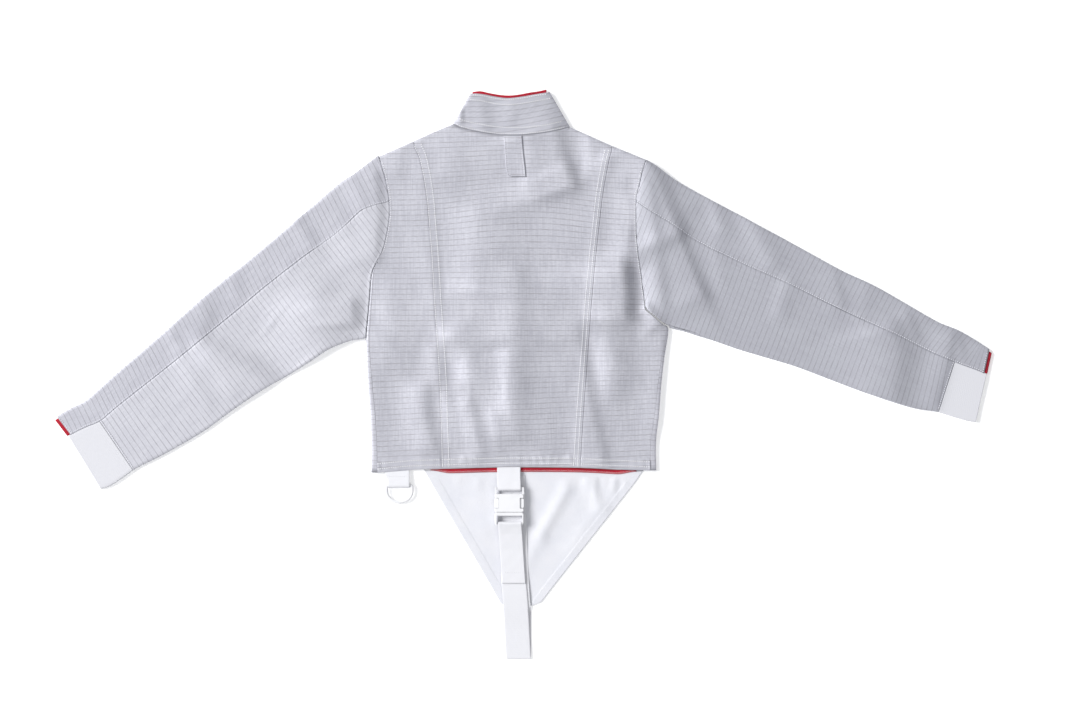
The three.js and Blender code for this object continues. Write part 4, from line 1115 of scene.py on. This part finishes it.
class Sleeve:
    """Lines down a sleeve: each starts at a point of the armhole and ends at the wrist"""

    def __init__(self, side):
        self.side, self.plan = side, SLEEVES[side]
        self.origin = np.array(self.plan["origin"])
        self.along = np.array(self.plan["along"])
        self.across = np.array(self.plan["across"])
        self.edges = {name: curve(self.plan["sections"], "u", name) for name in ("seam", "upper", "lower")}
        self.raw_ends = [self.raw(np.array([t]))[1][0] for t in (SHOULDER, UNDERARM)]

    def raw(self, t):
        offset = side_line(self.side, t) - self.origin
        u, w = offset @ self.along, offset @ self.across
        edge = np.where(t >= ELBOW, self.edges["upper"](u), self.edges["lower"](u))
        seam = self.edges["seam"](u)
        return u, (w - seam) / (edge - seam)

    def line(self, t, station):
        """Plan points across the sleeve at one station, for armhole shares t, and their place on the cut"""
        t = np.atleast_1d(t).astype(float)
        start, share = self.raw(t)
        is_upper = t >= ELBOW
        end = np.where(is_upper, *self.raw_ends)
        share = share + (1 - end) * (np.clip(share / end, 0, 1) ** 6)
        share = np.where(np.isclose(t, ELBOW), 0, share)
        at_cuff, at_wrist = smooth((station - 400) / 145), smooth((station - 545) / 47)
        upper_skew = self.plan["wrist_skew"][0] * at_wrist
        lower_skew = mix(self.plan["cuff_skew"], self.plan["wrist_skew"][1], at_wrist) * at_cuff
        skew = mix(self.plan["seam_skew"] * at_cuff, np.where(is_upper, upper_skew, lower_skew), share)
        u = station + start * smooth(1 - station / HEAD_REACH) + skew
        edge = np.where(is_upper, self.edges["upper"](u), self.edges["lower"](u))
        w = mix(self.edges["seam"](u), edge, share)
        plan = self.origin + u[:, None] * self.along + w[:, None] * self.across
        return plan, np.stack([w, u - skew + np.where(is_upper, *self.plan["tilt"]) * w], 1)


def resample(line, weave, shares, start=EDGE_CLEAR):
    """Points of a line between a start distance and its end, with their weave places"""
    whole = lengths(line)
    at = mix(start, whole[-1], shares)
    return walk(line, at), np.stack([np.interp(at, whole, weave[:, k]) for k in (0, 1)], 1)


# %% Sleeve pieces
HEAD_LIFT = {"left": 0.4, "right": -0.35}
top_shares = steps(62, 3.0, (), (0, 0.2, 0.8, 1.6, 2.8, 4.8))
under_shares = steps(115, 3.2, (), (0, 0.2, 0.8, 1.6, 2.8, 4.8))
beneath_shares = steps(190, 9.0)
sleeve_stations = WRIST_AT * steps(WRIST_AT, 3.3, EDGE_STEPS, ())


def sleeve_row(sleeve, station, folded, upper_shares):
    """One section of a sleeve piece, from the elbow seam round the folded edge to the seam beneath"""
    above, above_weave = sleeve.line(np.linspace(folded, ELBOW, 61), station)
    inner, inner_weave = resample(above, above_weave, upper_shares)
    under_to = FRONT_SEAM[sleeve.side]
    if folded > ELBOW:
        to_elbow, past_elbow = np.linspace(folded, ELBOW, 30), np.linspace(ELBOW - 0.002, under_to, 50)
        beneath_t = np.concatenate([to_elbow, past_elbow])
    else:
        beneath_t = np.linspace(folded, under_to, 41)
    below, below_weave = sleeve.line(beneath_t, station)
    outer, outer_weave = resample(below, below_weave, beneath_shares)
    rolled = roll(above[:1], inner[:1])[0]
    count = len(rolled)
    roll_weave = mix(inner_weave[0], outer_weave[0], np.linspace(0, 1, count + 2)[1:-1, None])
    row = np.concatenate([lifted(inner)[::-1], rolled, lay(outer, FLOOR_LEVEL)])
    weave = np.concatenate([inner_weave[::-1], roll_weave, outer_weave])
    return row, weave


def sleeve_piece(side, part, stations, folded, upper_shares, finish, seam_depth=SEAM_SINK):
    """A tube of a sleeve, cut open: the top sleeve folds at the shoulder line, the others at the underarm"""
    name, sleeve = f"{side}_{part}", Sleeve(side)
    rows = [sleeve_row(sleeve, station, folded, upper_shares) for station in stations]
    grid, weave = np.stack([row for row, _ in rows]), np.stack([place for _, place in rows])
    count = len(upper_shares)
    flat = grid[:, :count]
    relief = sink(row_distance(flat), seam_depth)
    if stations[0] == 0:
        relief += HEAD_LIFT[side] * smooth((6 - column_distance(flat)) / 5)
    grid[:, :count, 2] += relief * (np.arange(count) < count - 1)
    upper[name] = grid[:, :count].copy()
    inset_sides(grid)
    grid[0] = inset(grid[0], grid[1], SEAM_GAP)
    grid[-1] = inset(grid[-1], grid[-2])
    weave[..., 0] = along_rows(grid)
    wall(name, grid, finish, weave)


cuff_steps = np.array([0, 1, 2.5, 5, 10, 16, 22, 28, 34, 40, 45, 48, 50])
cuff_stations = np.array([*(CUFF_AT + cuff_steps), CUFF_END])
above_cuff = sleeve_stations[sleeve_stations <= CUFF_AT - 4]
under_stations = np.concatenate([above_cuff, CUFF_AT - np.array([3, 2, 1, 0])])
for side in ("left", "right"):
    top_cloth, under_cloth = sheen_painted_cloth[side + "_top"], sheen_painted_cloth[side + "_under"]
    sleeve_piece(side, "top_sleeve", sleeve_stations, SHOULDER, top_shares, top_cloth, -SEAM_SINK)
    sleeve_piece(side, "under_sleeve", under_stations, UNDERARM, under_shares, under_cloth)
    sleeve_piece(side, "cuff_elastic", cuff_stations, UNDERARM, under_shares, cuff_ribbing)
    for part in ("top_sleeve", "under_sleeve", "cuff_elastic"):
        sew_on(f"{side}_{part}")


# %% Red edges of the cuffs
def cuff_edging(side):
    """Narrow facing under the end of a top sleeve, showing past its edge"""
    sleeve = Sleeve(side)
    rows, places = [], []
    for station in np.linspace(WRIST_AT - 11, WRIST_AT + SLEEVES[side]["edging"], 8):
        line, _ = sleeve.line(np.linspace(ELBOW, SHOULDER, 41), station)
        at = np.linspace(1, lengths(line)[-1] - 3.4, 15)
        spots = walk(line, at)
        rows.append(lay(spots, cloth_level(spots) - WALL - SEAM_GAP))
        places.append(np.stack([at, np.full(len(at), station)], 1))
    wall(side + "_cuff_binding", np.stack(rows), red_cotton, np.stack(places))
    sew_on(side + "_cuff_binding")


for side in ("left", "right"):
    cuff_edging(side)

# %% [markdown]
# ## The collar
#
# The stand collar lies flat: one curved band that folds at both sides of the neck. Its lines follow
# the curve. Inside it, a red cotton facing stands a few millimetres above the top edge. A hanging
# tab is caught in the collar seam and lies down the centre back.

# %% The collar
COLLAR_HEIGHT = 56
COLLAR_UNDER = {"left": (0.553, 0.08), "right": (0.92, 0.57)}
COLLAR_PUCKERS = table(["x", "rise", "width"], [
    [-96, 0.5, 3.2],
    [-84, 0.3, 3.0],
])


def collar_point(share, t):
    """Point of the collar's back, at a neck share and a height share"""
    x, y, top_x, top_y = (read(share) for read in neck_curves)
    return np.stack([mix(x, top_x, t), mix(y, top_y, t) + SEAM_GAP], -1)


def collar_beneath(side, t):
    """Points of the collar under one side of the neck, at a height share"""
    q = np.linspace(*COLLAR_UNDER[side], 12)
    upper_edge = collar_point(mix(NECK_FROM, NECK_TO, q), 1.0) - [0, 3 + SEAM_GAP]
    spots = mix(front_neck(q), upper_edge, t)
    return lay(spots + [0, SEAM_GAP], FLOOR_LEVEL)


def collar_row(t):
    """One row of the collar at a height share: beneath, round the fold, above, round the fold, beneath"""
    line = collar_point(np.linspace(NECK_FROM, NECK_TO, 121), t)
    width = lengths(line)[-1]
    across = walk(line, mix(EDGE_CLEAR, width - EDGE_CLEAR, steps(150, 3.0)))
    above = lifted(across)
    up, down = t * COLLAR_HEIGHT, (1 - t) * COLLAR_HEIGHT
    edge_sink = sink(up, 0.8) + sink(down, 0.5)
    above[:, 2] += edge_sink + 0.25 * welt(up, 2, 9, 1) + 0.2 * welt(down, 1.5, 9, 1)
    pucker = 0
    for each in COLLAR_PUCKERS:
        pucker = pucker + each["rise"] * np.exp(-(((across[:, 0] - each["x"]) / each["width"]) ** 2))
    above[:, 2] += pucker * smooth(t * 3) * smooth((1 - t) * 2)
    roll_left = roll(line[:1], across[:1])[0][::-1]
    roll_right = roll(line[-1:], across[-1:])[0]
    parts = [collar_beneath("left", t), roll_left, above, roll_right, collar_beneath("right", t)]
    return np.concatenate(parts), above


def collar():
    """The whole band, from its seam with the back to its top edge"""
    rows, places, flat_rows = [], [], []
    for t in steps(COLLAR_HEIGHT, 3.4, (0, 0.7, 1.4, 2.2, 3.4), (0, 0.8, 1.6, 2.6)):
        row, above = collar_row(t)
        rows.append(row)
        flat_rows.append(above)
        places.append(np.stack([lengths(row), row[:, 1] - 0.001 * np.maximum(row[:, 0] + 75, 0) ** 2], 1))
    upper["collar"] = np.stack(flat_rows)
    wall("collar", np.stack(rows), sheen_painted_cloth["collar"], np.stack(places))
    sew_on("collar")


collar()

# %% The facing above the collar and the hanging tab
FACING = table(["x", "top", "rise"], [
    [-78, 421.2, 3.4],
    [-66, 420.8, 5.0],
    [-52, 418.6, 4.2],
    [-37, 416.4, 3.9],
    [-22, 415.2, 4.2],
    [-7, 416.8, 4.2],
    [8, 419.0, 4.8],
    [23, 421.6, 4.4],
    [33, 423.2, 5.2],
])
TAB = table(["y", "left", "right"], [
    [297.0, -20.5, 1.8],
    [299.5, -24.6, 1.6],
    [306.0, -27.2, 1.0],
    [325.0, -28.8, -1.2],
    [342.0, -30.0, -3.0],
    [358.2, -30.8, -4.4],
])
TAB_THICKNESS, TAB_ROW = 1.6, 2.6


def collar_facing():
    """Red facing inside the collar, whose edge stands above the collar's"""
    x = np.linspace(FACING[0]["x"], FACING[-1]["x"], 61)
    top, rise = curve(FACING, "x", "top")(x), curve(FACING, "x", "rise")(x)
    level = np.minimum(BACK_LEVEL, cloth_level(np.stack([x, top], 1))) - WALL - SEAM_GAP
    heights = [np.full_like(x, -14), np.full_like(x, -6), np.full_like(x, -1), rise * 0.3, rise * 0.65, rise]
    grid = np.stack([lay(np.stack([x, top + up], 1), level) for up in heights])
    wall("collar_facing", grid, red_cotton, grid[..., :2].copy())
    sew_on("collar_facing")


def neck_tab():
    """Hanging tab, caught in the collar seam"""
    y = np.linspace(TAB[0]["y"], TAB[-1]["y"], 31)
    left, right = (curve(TAB, "y", name)(y) for name in ("left", "right"))
    across = steps(26, 2.2, (0, 0.6, 1.3, 2.2, 3.4), (0, 0.6, 1.3, 2.2, 3.4))
    x = mix(left[:, None], right[:, None], across[None])
    plan = np.stack(np.broadcast_arrays(x, y[:, None]), -1)
    grid = lay(plan, cloth_level(plan) + WALL / 2 + SEAM_GAP + TAB_THICKNESS / 2)
    edge = np.minimum(row_distance(grid), row_distance(grid, True))
    grid[..., 2] += 0.1 * smooth(edge / 1.2) - sink(edge - TAB_ROW, -0.25, 0.7) - 0.3
    upper["neck_tab"] = grid
    wall("neck_tab", grid, lame_cloth, plan, TAB_THICKNESS)
    sew_on("neck_tab")


collar_facing()
neck_tab()

# %% [markdown]
# ## The flap
#
# The fronts of a lame run on below the hem in a pointed flap that goes between the legs. It is
# folded out here with its cotton inner side up. Its slanted edges are turned and stitched, it is
# gathered where it is sewn to the hem, and the folds of the gathers run into the cloth.

# %% The flap
FLAP = table(["y", "left", "right"], [
    [-346.2, -31.0, 12.0],
    [-341.0, -36.8, 25.0],
    [-310.0, -54.5, 49.0],
    [-270.0, -77.7, 80.5],
    [-230.0, -101.0, 112.0],
    [-190.0, -124.3, 143.5],
    [-160.0, -141.5, 167.0],
    [-152.0, -146.0, 172.5],
    [-142.0, -151.5, 179.5],
])
GATHERS = table(["x", "depth", "width", "rise"], [
    [92, 38, 4.5, 1.2],
    [106, 50, 4.0, 1.6],
    [121, 30, 4.0, 1.3],
    [135, 44, 4.5, 1.8],
    [150, 26, 4.0, 1.2],
    [-70, 24, 5.0, 0.9],
    [-100, 20, 5.0, 0.9],
])
FLAP_FOLDS = table(["x0", "y0", "x1", "y1", "width", "rise"], [
    [62, -172, 26, -238, 11, 2.6],
    [98, -160, 112, -195, 9, 1.8],
    [20, -250, 2, -290, 12, 1.0],
    [-70, -170, -60, -230, 16, 0.8],
    [110, -200, 70, -260, 12, 0.8],
    [132, -165, 122, -200, 6, 0.8],
])
FLAP_CALM = -152
FLAP_HEM, FLAP_HEM_EXTRA, FLAP_ROW = 16.38, 0.4, 13.6


def flap_level(x, y):
    """How far the flap's folds and gathers lift it"""
    folds = 0
    for fold in FLAP_FOLDS:
        t = np.clip((y - fold["y0"]) / (fold["y1"] - fold["y0"]), 0, 1)
        aside = x - mix(fold["x0"], fold["x1"], t)
        past = np.maximum(0, np.maximum(y - fold["y0"], fold["y1"] - y))
        folds = folds + fold["rise"] * np.exp(-((aside / fold["width"]) ** 2) - (past / 14) ** 2)
    for gather in GATHERS:
        fade = np.clip(1 - (FLAP_CALM - y) / gather["depth"], 0, 1)
        folds = folds + gather["rise"] * fade * np.exp(-(((x - gather["x"]) / gather["width"]) ** 2))
    return folds * np.clip((FLAP_CALM - y) / 6, 0, 1)


def flap():
    """The flap and its turned edges, from its short lower end to the hem"""
    end, corner, top = FLAP[0]["y"], FLAP[1]["y"], FLAP[-1]["y"]
    y = np.unique(np.concatenate([np.linspace(end, corner, 5), np.linspace(corner, top, 66), [FLAP_CALM]]))
    known = [row["y"] for row in FLAP]
    left, right = (np.interp(y, known, [row[name] for row in FLAP]) for name in ("left", "right"))
    hem_steps = np.array([0, 1.5, 3, 6, 10, 13, 14.6, 15.8, FLAP_HEM])
    rows = []
    for low, high, level in zip(left, right, y):
        at = np.minimum(hem_steps, (high - low) / 2 * hem_steps / FLAP_HEM)
        x = np.concatenate([low + at, np.linspace(low + at[-1], high - at[-1], 72)[1:-1], (high - at)[::-1]])
        rows.append(np.stack([x, np.full_like(x, level)], 1))
    plan = np.stack(rows)
    plan[-1, :, 1] = np.minimum(plan[-1, :, 1], hem_y(plan[-1, :, 0])) - SEAM_GAP
    level = flap_level(plan[..., 0], plan[..., 1])
    edge = np.minimum(plan[..., 0] - left[:, None], right[:, None] - plan[..., 0])
    doubled = smooth((FLAP_HEM - edge) / 3) * smooth((FLAP_CALM - plan[..., 1]) / 8)
    grid = lay(plan, FLOOR_LEVEL + level + doubled * FLAP_HEM_EXTRA / 2)
    upper["flap"] = grid
    wall("flap", grid, cotton, plan, WALL + FLAP_HEM_EXTRA * doubled)
    sew_on("flap")


flap()

# %% The red edge below the hem
RED_HEM = {"from": -141, "to": 168, "depth": 7.6, "thickness": 1.0}


def hem_binding():
    """Red edge that hangs from the hem over the flap's gathers"""
    x = np.linspace(RED_HEM["from"], RED_HEM["to"], 104)
    ends = np.minimum(x - RED_HEM["from"], RED_HEM["to"] - x)
    depth = RED_HEM["depth"] * mix(0.35, 1, smooth(ends / 30))
    grid = []
    for share in (1, 0.8, 0.6, 0.4, 0.2, 0):
        y = hem_y(x) - mix(1, depth, share)
        base = FLOOR_LEVEL + np.maximum(flap_level(x, y), flap_level(x, y - 4)) + WALL / 2
        grid.append(lay(np.stack([x, y], 1), base + SEAM_GAP + RED_HEM["thickness"] / 2))
    grid = np.stack(grid)
    upper["hem_binding"] = grid
    wall("hem_binding", grid, red_cotton, grid[..., :2].copy(), RED_HEM["thickness"])
    sew_on("hem_binding")


hem_binding()

# %% [markdown]
# ## The strap
#
# A webbing strap hangs from the hem to a side-release buckle, and a second length joins the buckle to
# an elastic strap. The elastic turns back near its end and runs up beneath to the hem. Each webbing
# goes round the buckle's bar. A third loop at the left hem holds the ring for the body wire's clip.

# %% The strap
BUCKLE = {"top": -168, "bottom": -225.4, "low": 3.2, "high": 12.2}
BAR_LEVEL = (BUCKLE["low"] + BUCKLE["high"]) / 2
BAR_HALF = (1.8, 1.4)
BAR_TURN = np.hypot(*BAR_HALF) + 1.5 * SEAM_GAP + WALL / 2
UPPER_BAR, LOWER_BAR = BUCKLE["top"] - BAR_HALF[0], BUCKLE["bottom"] + BAR_HALF[0]
STRAP_WIDTH, ELASTIC_WIDTH = 35, 37


def half_turn(x, y, z, radius, start, end, count=13):
    """Points of a band's half turn round a bar"""
    angle = np.radians(np.linspace(start, end, count))
    return [[x, y + radius * np.cos(a), z + radius * np.sin(a)] for a in angle]


def ribbon(name, finish, path, width):
    """Flat band along a path of centre points, its width lying across X; its edges are a little thinner"""
    path = np.array(path, float)
    at = lengths(path)
    places = np.unique(np.concatenate([at, np.arange(0, at[-1], 2.5)]))
    spine = walk(path, places)
    half = np.interp(places, at, np.broadcast_to(width, len(path))) / 2
    aside = steps(35, 3.0, (0, 0.5, 1.1, 2.0), (0, 0.5, 1.1, 2.0)) * 2 - 1
    grid = np.repeat(spine[:, None], len(aside), 1)
    grid[..., 0] += half[:, None] * aside
    thickness = WALL * (1 - 0.35 * np.clip(np.abs(aside) - 0.93, 0, 1) / 0.07)
    weave = np.stack(np.broadcast_arrays(half[:, None] * aside, places[:, None]), -1)
    wall(name, grid, finish, weave, np.broadcast_to(thickness, grid.shape[:2]))
    upper[name] = grid
    sew_on(name)


ribbon("strap_webbing_upper", webbing, [
    [-23.5, -129, 5.1], [-23.5, -138, 5.2], [-23.7, -147, 5.8], [-23.4, -158, 8.0], [-23.2, -164, 9.8],
    *half_turn(-23.0, UPPER_BAR, BAR_LEVEL, -BAR_TURN, -90, 90),
    [-23.2, -163, 4.7], [-23.4, -152, 3.7], [-23.7, -139, 3.6], [-23.5, -134, 3.6],
], STRAP_WIDTH)
ribbon("strap_webbing_lower", webbing, [
    [-16.2, -313, 5.2], [-17.2, -296, 5.2], [-19.4, -262, 5.3], [-21, -238, 7.4], [-21.8, -229, 9.4],
    *half_turn(-22.2, LOWER_BAR, BAR_LEVEL, BAR_TURN, 90, -90),
    [-21.6, -231, 4.6], [-20.6, -244, 3.7], [-19.4, -262, 3.6], [-17.3, -295, 3.6],
], STRAP_WIDTH)
ribbon("strap_elastic", elastic, [
    [-17.2, -297, 3.7], [-15.6, -318, 3.9], [-14.4, -332, 4.6], [-13.2, -350, 4.6], [-11.6, -380, 3.0],
    [-9.6, -418, 2.7],
    *half_turn(-9.3, -424.6, 1.68, -1.05, -90, 90),
    [-8.4, -418, 0.6], [-8.6, -356, 0.6], [-9.4, -347, 3.1], [-10.6, -332, 3.1], [-12.2, -306, 2.1],
    [-15.6, -225, 2.1], [-18.4, -151, 2.1],
], ELASTIC_WIDTH)

# %% The ring's loop
RING = {"axisY": -165.5, "wire": 5.0, "facet": 0.41}
ring_turn = RING["wire"] / 2 * np.hypot(1, RING["facet"]) + SEAM_GAP + WALL / 2
ring_level = FLOOR_LEVEL + ring_turn
loop_path = np.array([
    [-191.8, -130, 3.6], [-191.8, -140, 3.8], [-191, -150, 5.2], [-188.8, -159, 7],
    *half_turn(-188.6, RING["axisY"], ring_level, -ring_turn, -90, 90),
    [-189, -161, 0.6], [-191, -150, 0.6], [-191.8, -147.2, 0.6],
])
loop_widths = mix(38.4, 32.0, smooth((-145 - loop_path[:, 1]) / 13))
ribbon("ring_loop", webbing, loop_path, loop_widths)

# %% [markdown]
# ## Buckle and ring
#
# These are moulded nylon and keep their CAD shape. A small bevel takes the sharp look off the edges,
# as a mould does.

# %% Buckle and ring
BEVELS = {"buckle_female": 0.45, "buckle_male": 0.45, "d_ring": 0.35}
for name, radius in BEVELS.items():
    node = nodes[name]
    node.data.materials.clear()
    node.data.materials.append(nylon.material)
    bevel = node.modifiers.new("moulded_edges", "BEVEL")
    bevel.width, bevel.segments = radius * MM, 2
    bevel.limit_method, bevel.angle_limit = "ANGLE", np.radians(35)
print("nylon parts:", ", ".join(BEVELS))

# %% [markdown]
# ## Stitches
#
# Every visible row of stitches is made of short threads that dip into the cloth at both ends. All
# the stitches of an area are one mesh. A row follows a line of the piece's own grid at a given
# distance from its edge, so it lies on the cloth, wherever that goes. Between two stitches a short
# grey stroke, a little lower, is painted shade for the dip at the needle hole.

# %% Stitches
STITCH = {"pitch": 3.4, "length": 2.1, "radius": 0.7, "flatness": 0.6}
painted_hole_shades = []
RINGS = ((-1.0, 0.25), (-0.55, 1.0), (0.55, 1.0), (1.0, 0.25))
SIDES = 5


def threads(name, starts, ends, finish, radius):
    """Short raised threads from start points to end points, as one mesh"""
    starts, ends = np.concatenate(starts), np.concatenate(ends)
    middle, half = (starts + ends) / 2, (ends - starts) / 2
    along = unit(half)
    aside = unit(np.cross(np.broadcast_to([0, 0, 1.0], along.shape), along))
    up = np.cross(along, aside)
    angle = np.linspace(0, 2 * np.pi, SIDES, endpoint=False)
    rings = []
    wide, tall = np.cos(angle)[:, None], STITCH["flatness"] * np.sin(angle)[:, None]
    outline = wide * aside[:, None] + tall * up[:, None]
    for place, size in RINGS:
        centre = middle + half * place + up * radius * STITCH["flatness"] * (0.75 - 1.1 * place ** 2)
        rings.append(centre[:, None] + outline * radius * size)
    vertices = np.stack(rings, 1).reshape(-1, 3)
    per = len(RINGS) * SIDES
    faces = []
    for ring in range(len(RINGS) - 1):
        for k in range(SIDES):
            a, b = ring * SIDES + k, ring * SIDES + (k + 1) % SIDES
            faces.append([a, b, b + SIDES, a + SIDES])
    caps = [list(range(SIDES))[::-1], [per - SIDES + k for k in range(SIDES)]]
    offsets = np.arange(len(starts)) * per
    quads = (np.array(faces)[None] + offsets[:, None, None]).reshape(-1, 4).tolist()
    ends_faces = (np.array(caps)[None] + offsets[:, None, None]).reshape(-1, SIDES).tolist()
    made = link(name, vertices, quads + ends_faces, finish)
    set_weave(made, vertices[:, :2])
    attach(made, "garment")
    print(f"{name}: {len(starts)} stitches")


def row_of(line, pitch=STITCH["pitch"], length=STITCH["length"]):
    """Start and end points of the stitches down a line"""
    whole = lengths(line)[-1]
    at = np.arange(0.6, whole - length, pitch)
    return walk(line, at), walk(line, at + length)


def beside(grid, edge, distance, rise=WALL / 2):
    """Line on a grid's upper face at a distance from one of its edges"""
    lines = np.swapaxes(grid, 0, 1) if edge in ("bottom", "top") else grid
    if edge in ("right", "top"):
        lines = lines[:, ::-1]
    points = np.stack([walk(line, [distance])[0] for line in lines])
    points[:, 2] += rise
    return points


def sew(name, lines, finish, radius=STITCH["radius"], pitch=STITCH["pitch"], length=STITCH["length"]):
    """Rows of stitches down lines, and between each two stitches a grey stroke of painted shade for the dip
    at its needle hole
    """
    rows = [row_of(line, pitch, length) for line in lines]
    # The grey strokes of painted shade sit a little lower than the stitches.
    drop = [0, 0, radius * 0.7]
    painted_hole_shades.extend((start[1:] - drop, end[:-1] - drop) for start, end in rows)
    threads(name, [start for start, _ in rows], [end for _, end in rows], finish, radius)


# %% [markdown]
# Which rows a piece has is set out in one table: the piece, the edge that the row follows, its
# distance from that edge, and how many grid rows it leaves out at its start and its end.

# %% Rows of stitches
FELL = {"left": (0.9, 10.6), "right": (4.0, 9.6)}
BACKS = ("back_centre", "back_side_left", "back_side_right")
ROWS = {
    "princess": [("back_centre", edge, distance, 3, 2) for edge in FELL for distance in FELL[edge]],
    "hem": [(name, "bottom", distance, 0, 0) for name in BACKS for distance in (5.4, 13.2)],
    "armhole": [("back_side_left", "left", 2.6, 112, 2), ("back_side_right", "left", 2.6, 112, 2)],
    "collar": [
        ("collar", "bottom", 1.7, 0, 0),
        ("collar", "bottom", 11.5, 0, 0),
        ("collar", "top", 2.6, 0, 0),
        ("collar", "top", 10.4, 0, 0),
    ],
    "sleeve": [
        ("left_top_sleeve", "left", 1.9, 3, 0),
        ("left_top_sleeve", "top", 2.4, 0, 0),
        ("left_under_sleeve", "top", 2.0, 0, 0),
        ("right_top_sleeve", "left", 1.9, 3, 0),
        ("right_top_sleeve", "top", 2.4, 0, 0),
        ("right_under_sleeve", "top", 2.0, 0, 0),
    ],
    "tab": [("neck_tab", "left", TAB_ROW, 0, 2), ("neck_tab", "right", TAB_ROW, 0, 2)],
    "flap": [("flap", "left", FLAP_ROW, 0, 4), ("flap", "right", FLAP_ROW, 0, 4)],
}
ROW_THREADS = {
    "princess": (thread, STITCH["radius"]),
    "hem": (thread, 0.85),
    "armhole": (thread, 0.42),
    "collar": (thread, 0.85),
    "sleeve": (grey_thread, STITCH["radius"]),
    "tab": (grey_thread, 0.34),
    "flap": (thread, 0.36),
}
for area, rows in ROWS.items():
    lines = []
    for piece, edge, distance, skipped, cut_off in rows:
        rise = TAB_THICKNESS / 2 if piece == "neck_tab" else WALL / 2
        line = beside(upper[piece], edge, distance, rise)
        lines.append(line[skipped:len(line) - cut_off])
    sew(area + "_stitches", lines, *ROW_THREADS[area])


# %% Overlocked red edge
def zigzag(line, depth, pitch):
    """Slanting stitches over an edge, back and forth"""
    at = np.arange(0.5, lengths(line)[-1] - pitch, pitch)
    low, high = walk(line, at), walk(line, at + pitch / 2)
    top = high + [0, depth, 0]
    return [low, top], [top, walk(line, at + pitch)]


hem_low = beside(upper["hem_binding"], "bottom", 0.4, 0.5)
starts, ends = zigzag(hem_low, depth=2.6, pitch=3.6)
threads("overlock_stitches", starts, ends, thread, radius=0.15)


# %% Cross stitches of the straps
def cross_row(grid, row, inset_by=3.0, rise=WALL / 2):
    """Stitch line straight over a band, at one of its rows"""
    line = grid[row].copy()
    line[:, 2] += rise
    whole = lengths(line)
    return walk(line, np.linspace(inset_by, whole[-1] - inset_by, 20))


def row_at(grid, y):
    """The grid row whose middle is nearest to a Y value, on the band's first run"""
    middle = grid[:, grid.shape[1] // 2]
    first_run = len(middle) // 2
    return int(np.argmin(np.abs(middle[:first_run, 1] - y)))


crossings = []
for name, y in (("strap_webbing_lower", -297), ("ring_loop", -152)):
    crossings.append(cross_row(upper[name], row_at(upper[name], y)))
sew("strap_stitches", crossings, thread, radius=0.36, pitch=2.8, length=1.9)

# %% Painted shade at the needle holes
shade_stroke_starts, shade_stroke_ends = [start for start, _ in painted_hole_shades], [end for _, end in painted_hole_shades]
threads("painted_needle_hole_shade", shade_stroke_starts, shade_stroke_ends, painted_hole_shade_finish, radius=0.42)

# %% [markdown]
# ## The cut of each cloth
#
# Each piece of cloth prints the size that it was cut to: the widest row and the longest column of its
# grid, measured on the cloth, and the area of all its cells. Rows of stitches and the narrow red
# edge, which are sewn to other cloth, are not in the list.

# %% The cut of each cloth
for name, made in pieces.items():
    if name == "hem_binding":
        continue
    width, length, area = made["cut"]
    width, length = round(width, 3), round(length, 3)
    min(area, width * length)
    print(f"{name}: cut {width:.3f} x {length:.3f} m, area {area:.4f} m2")
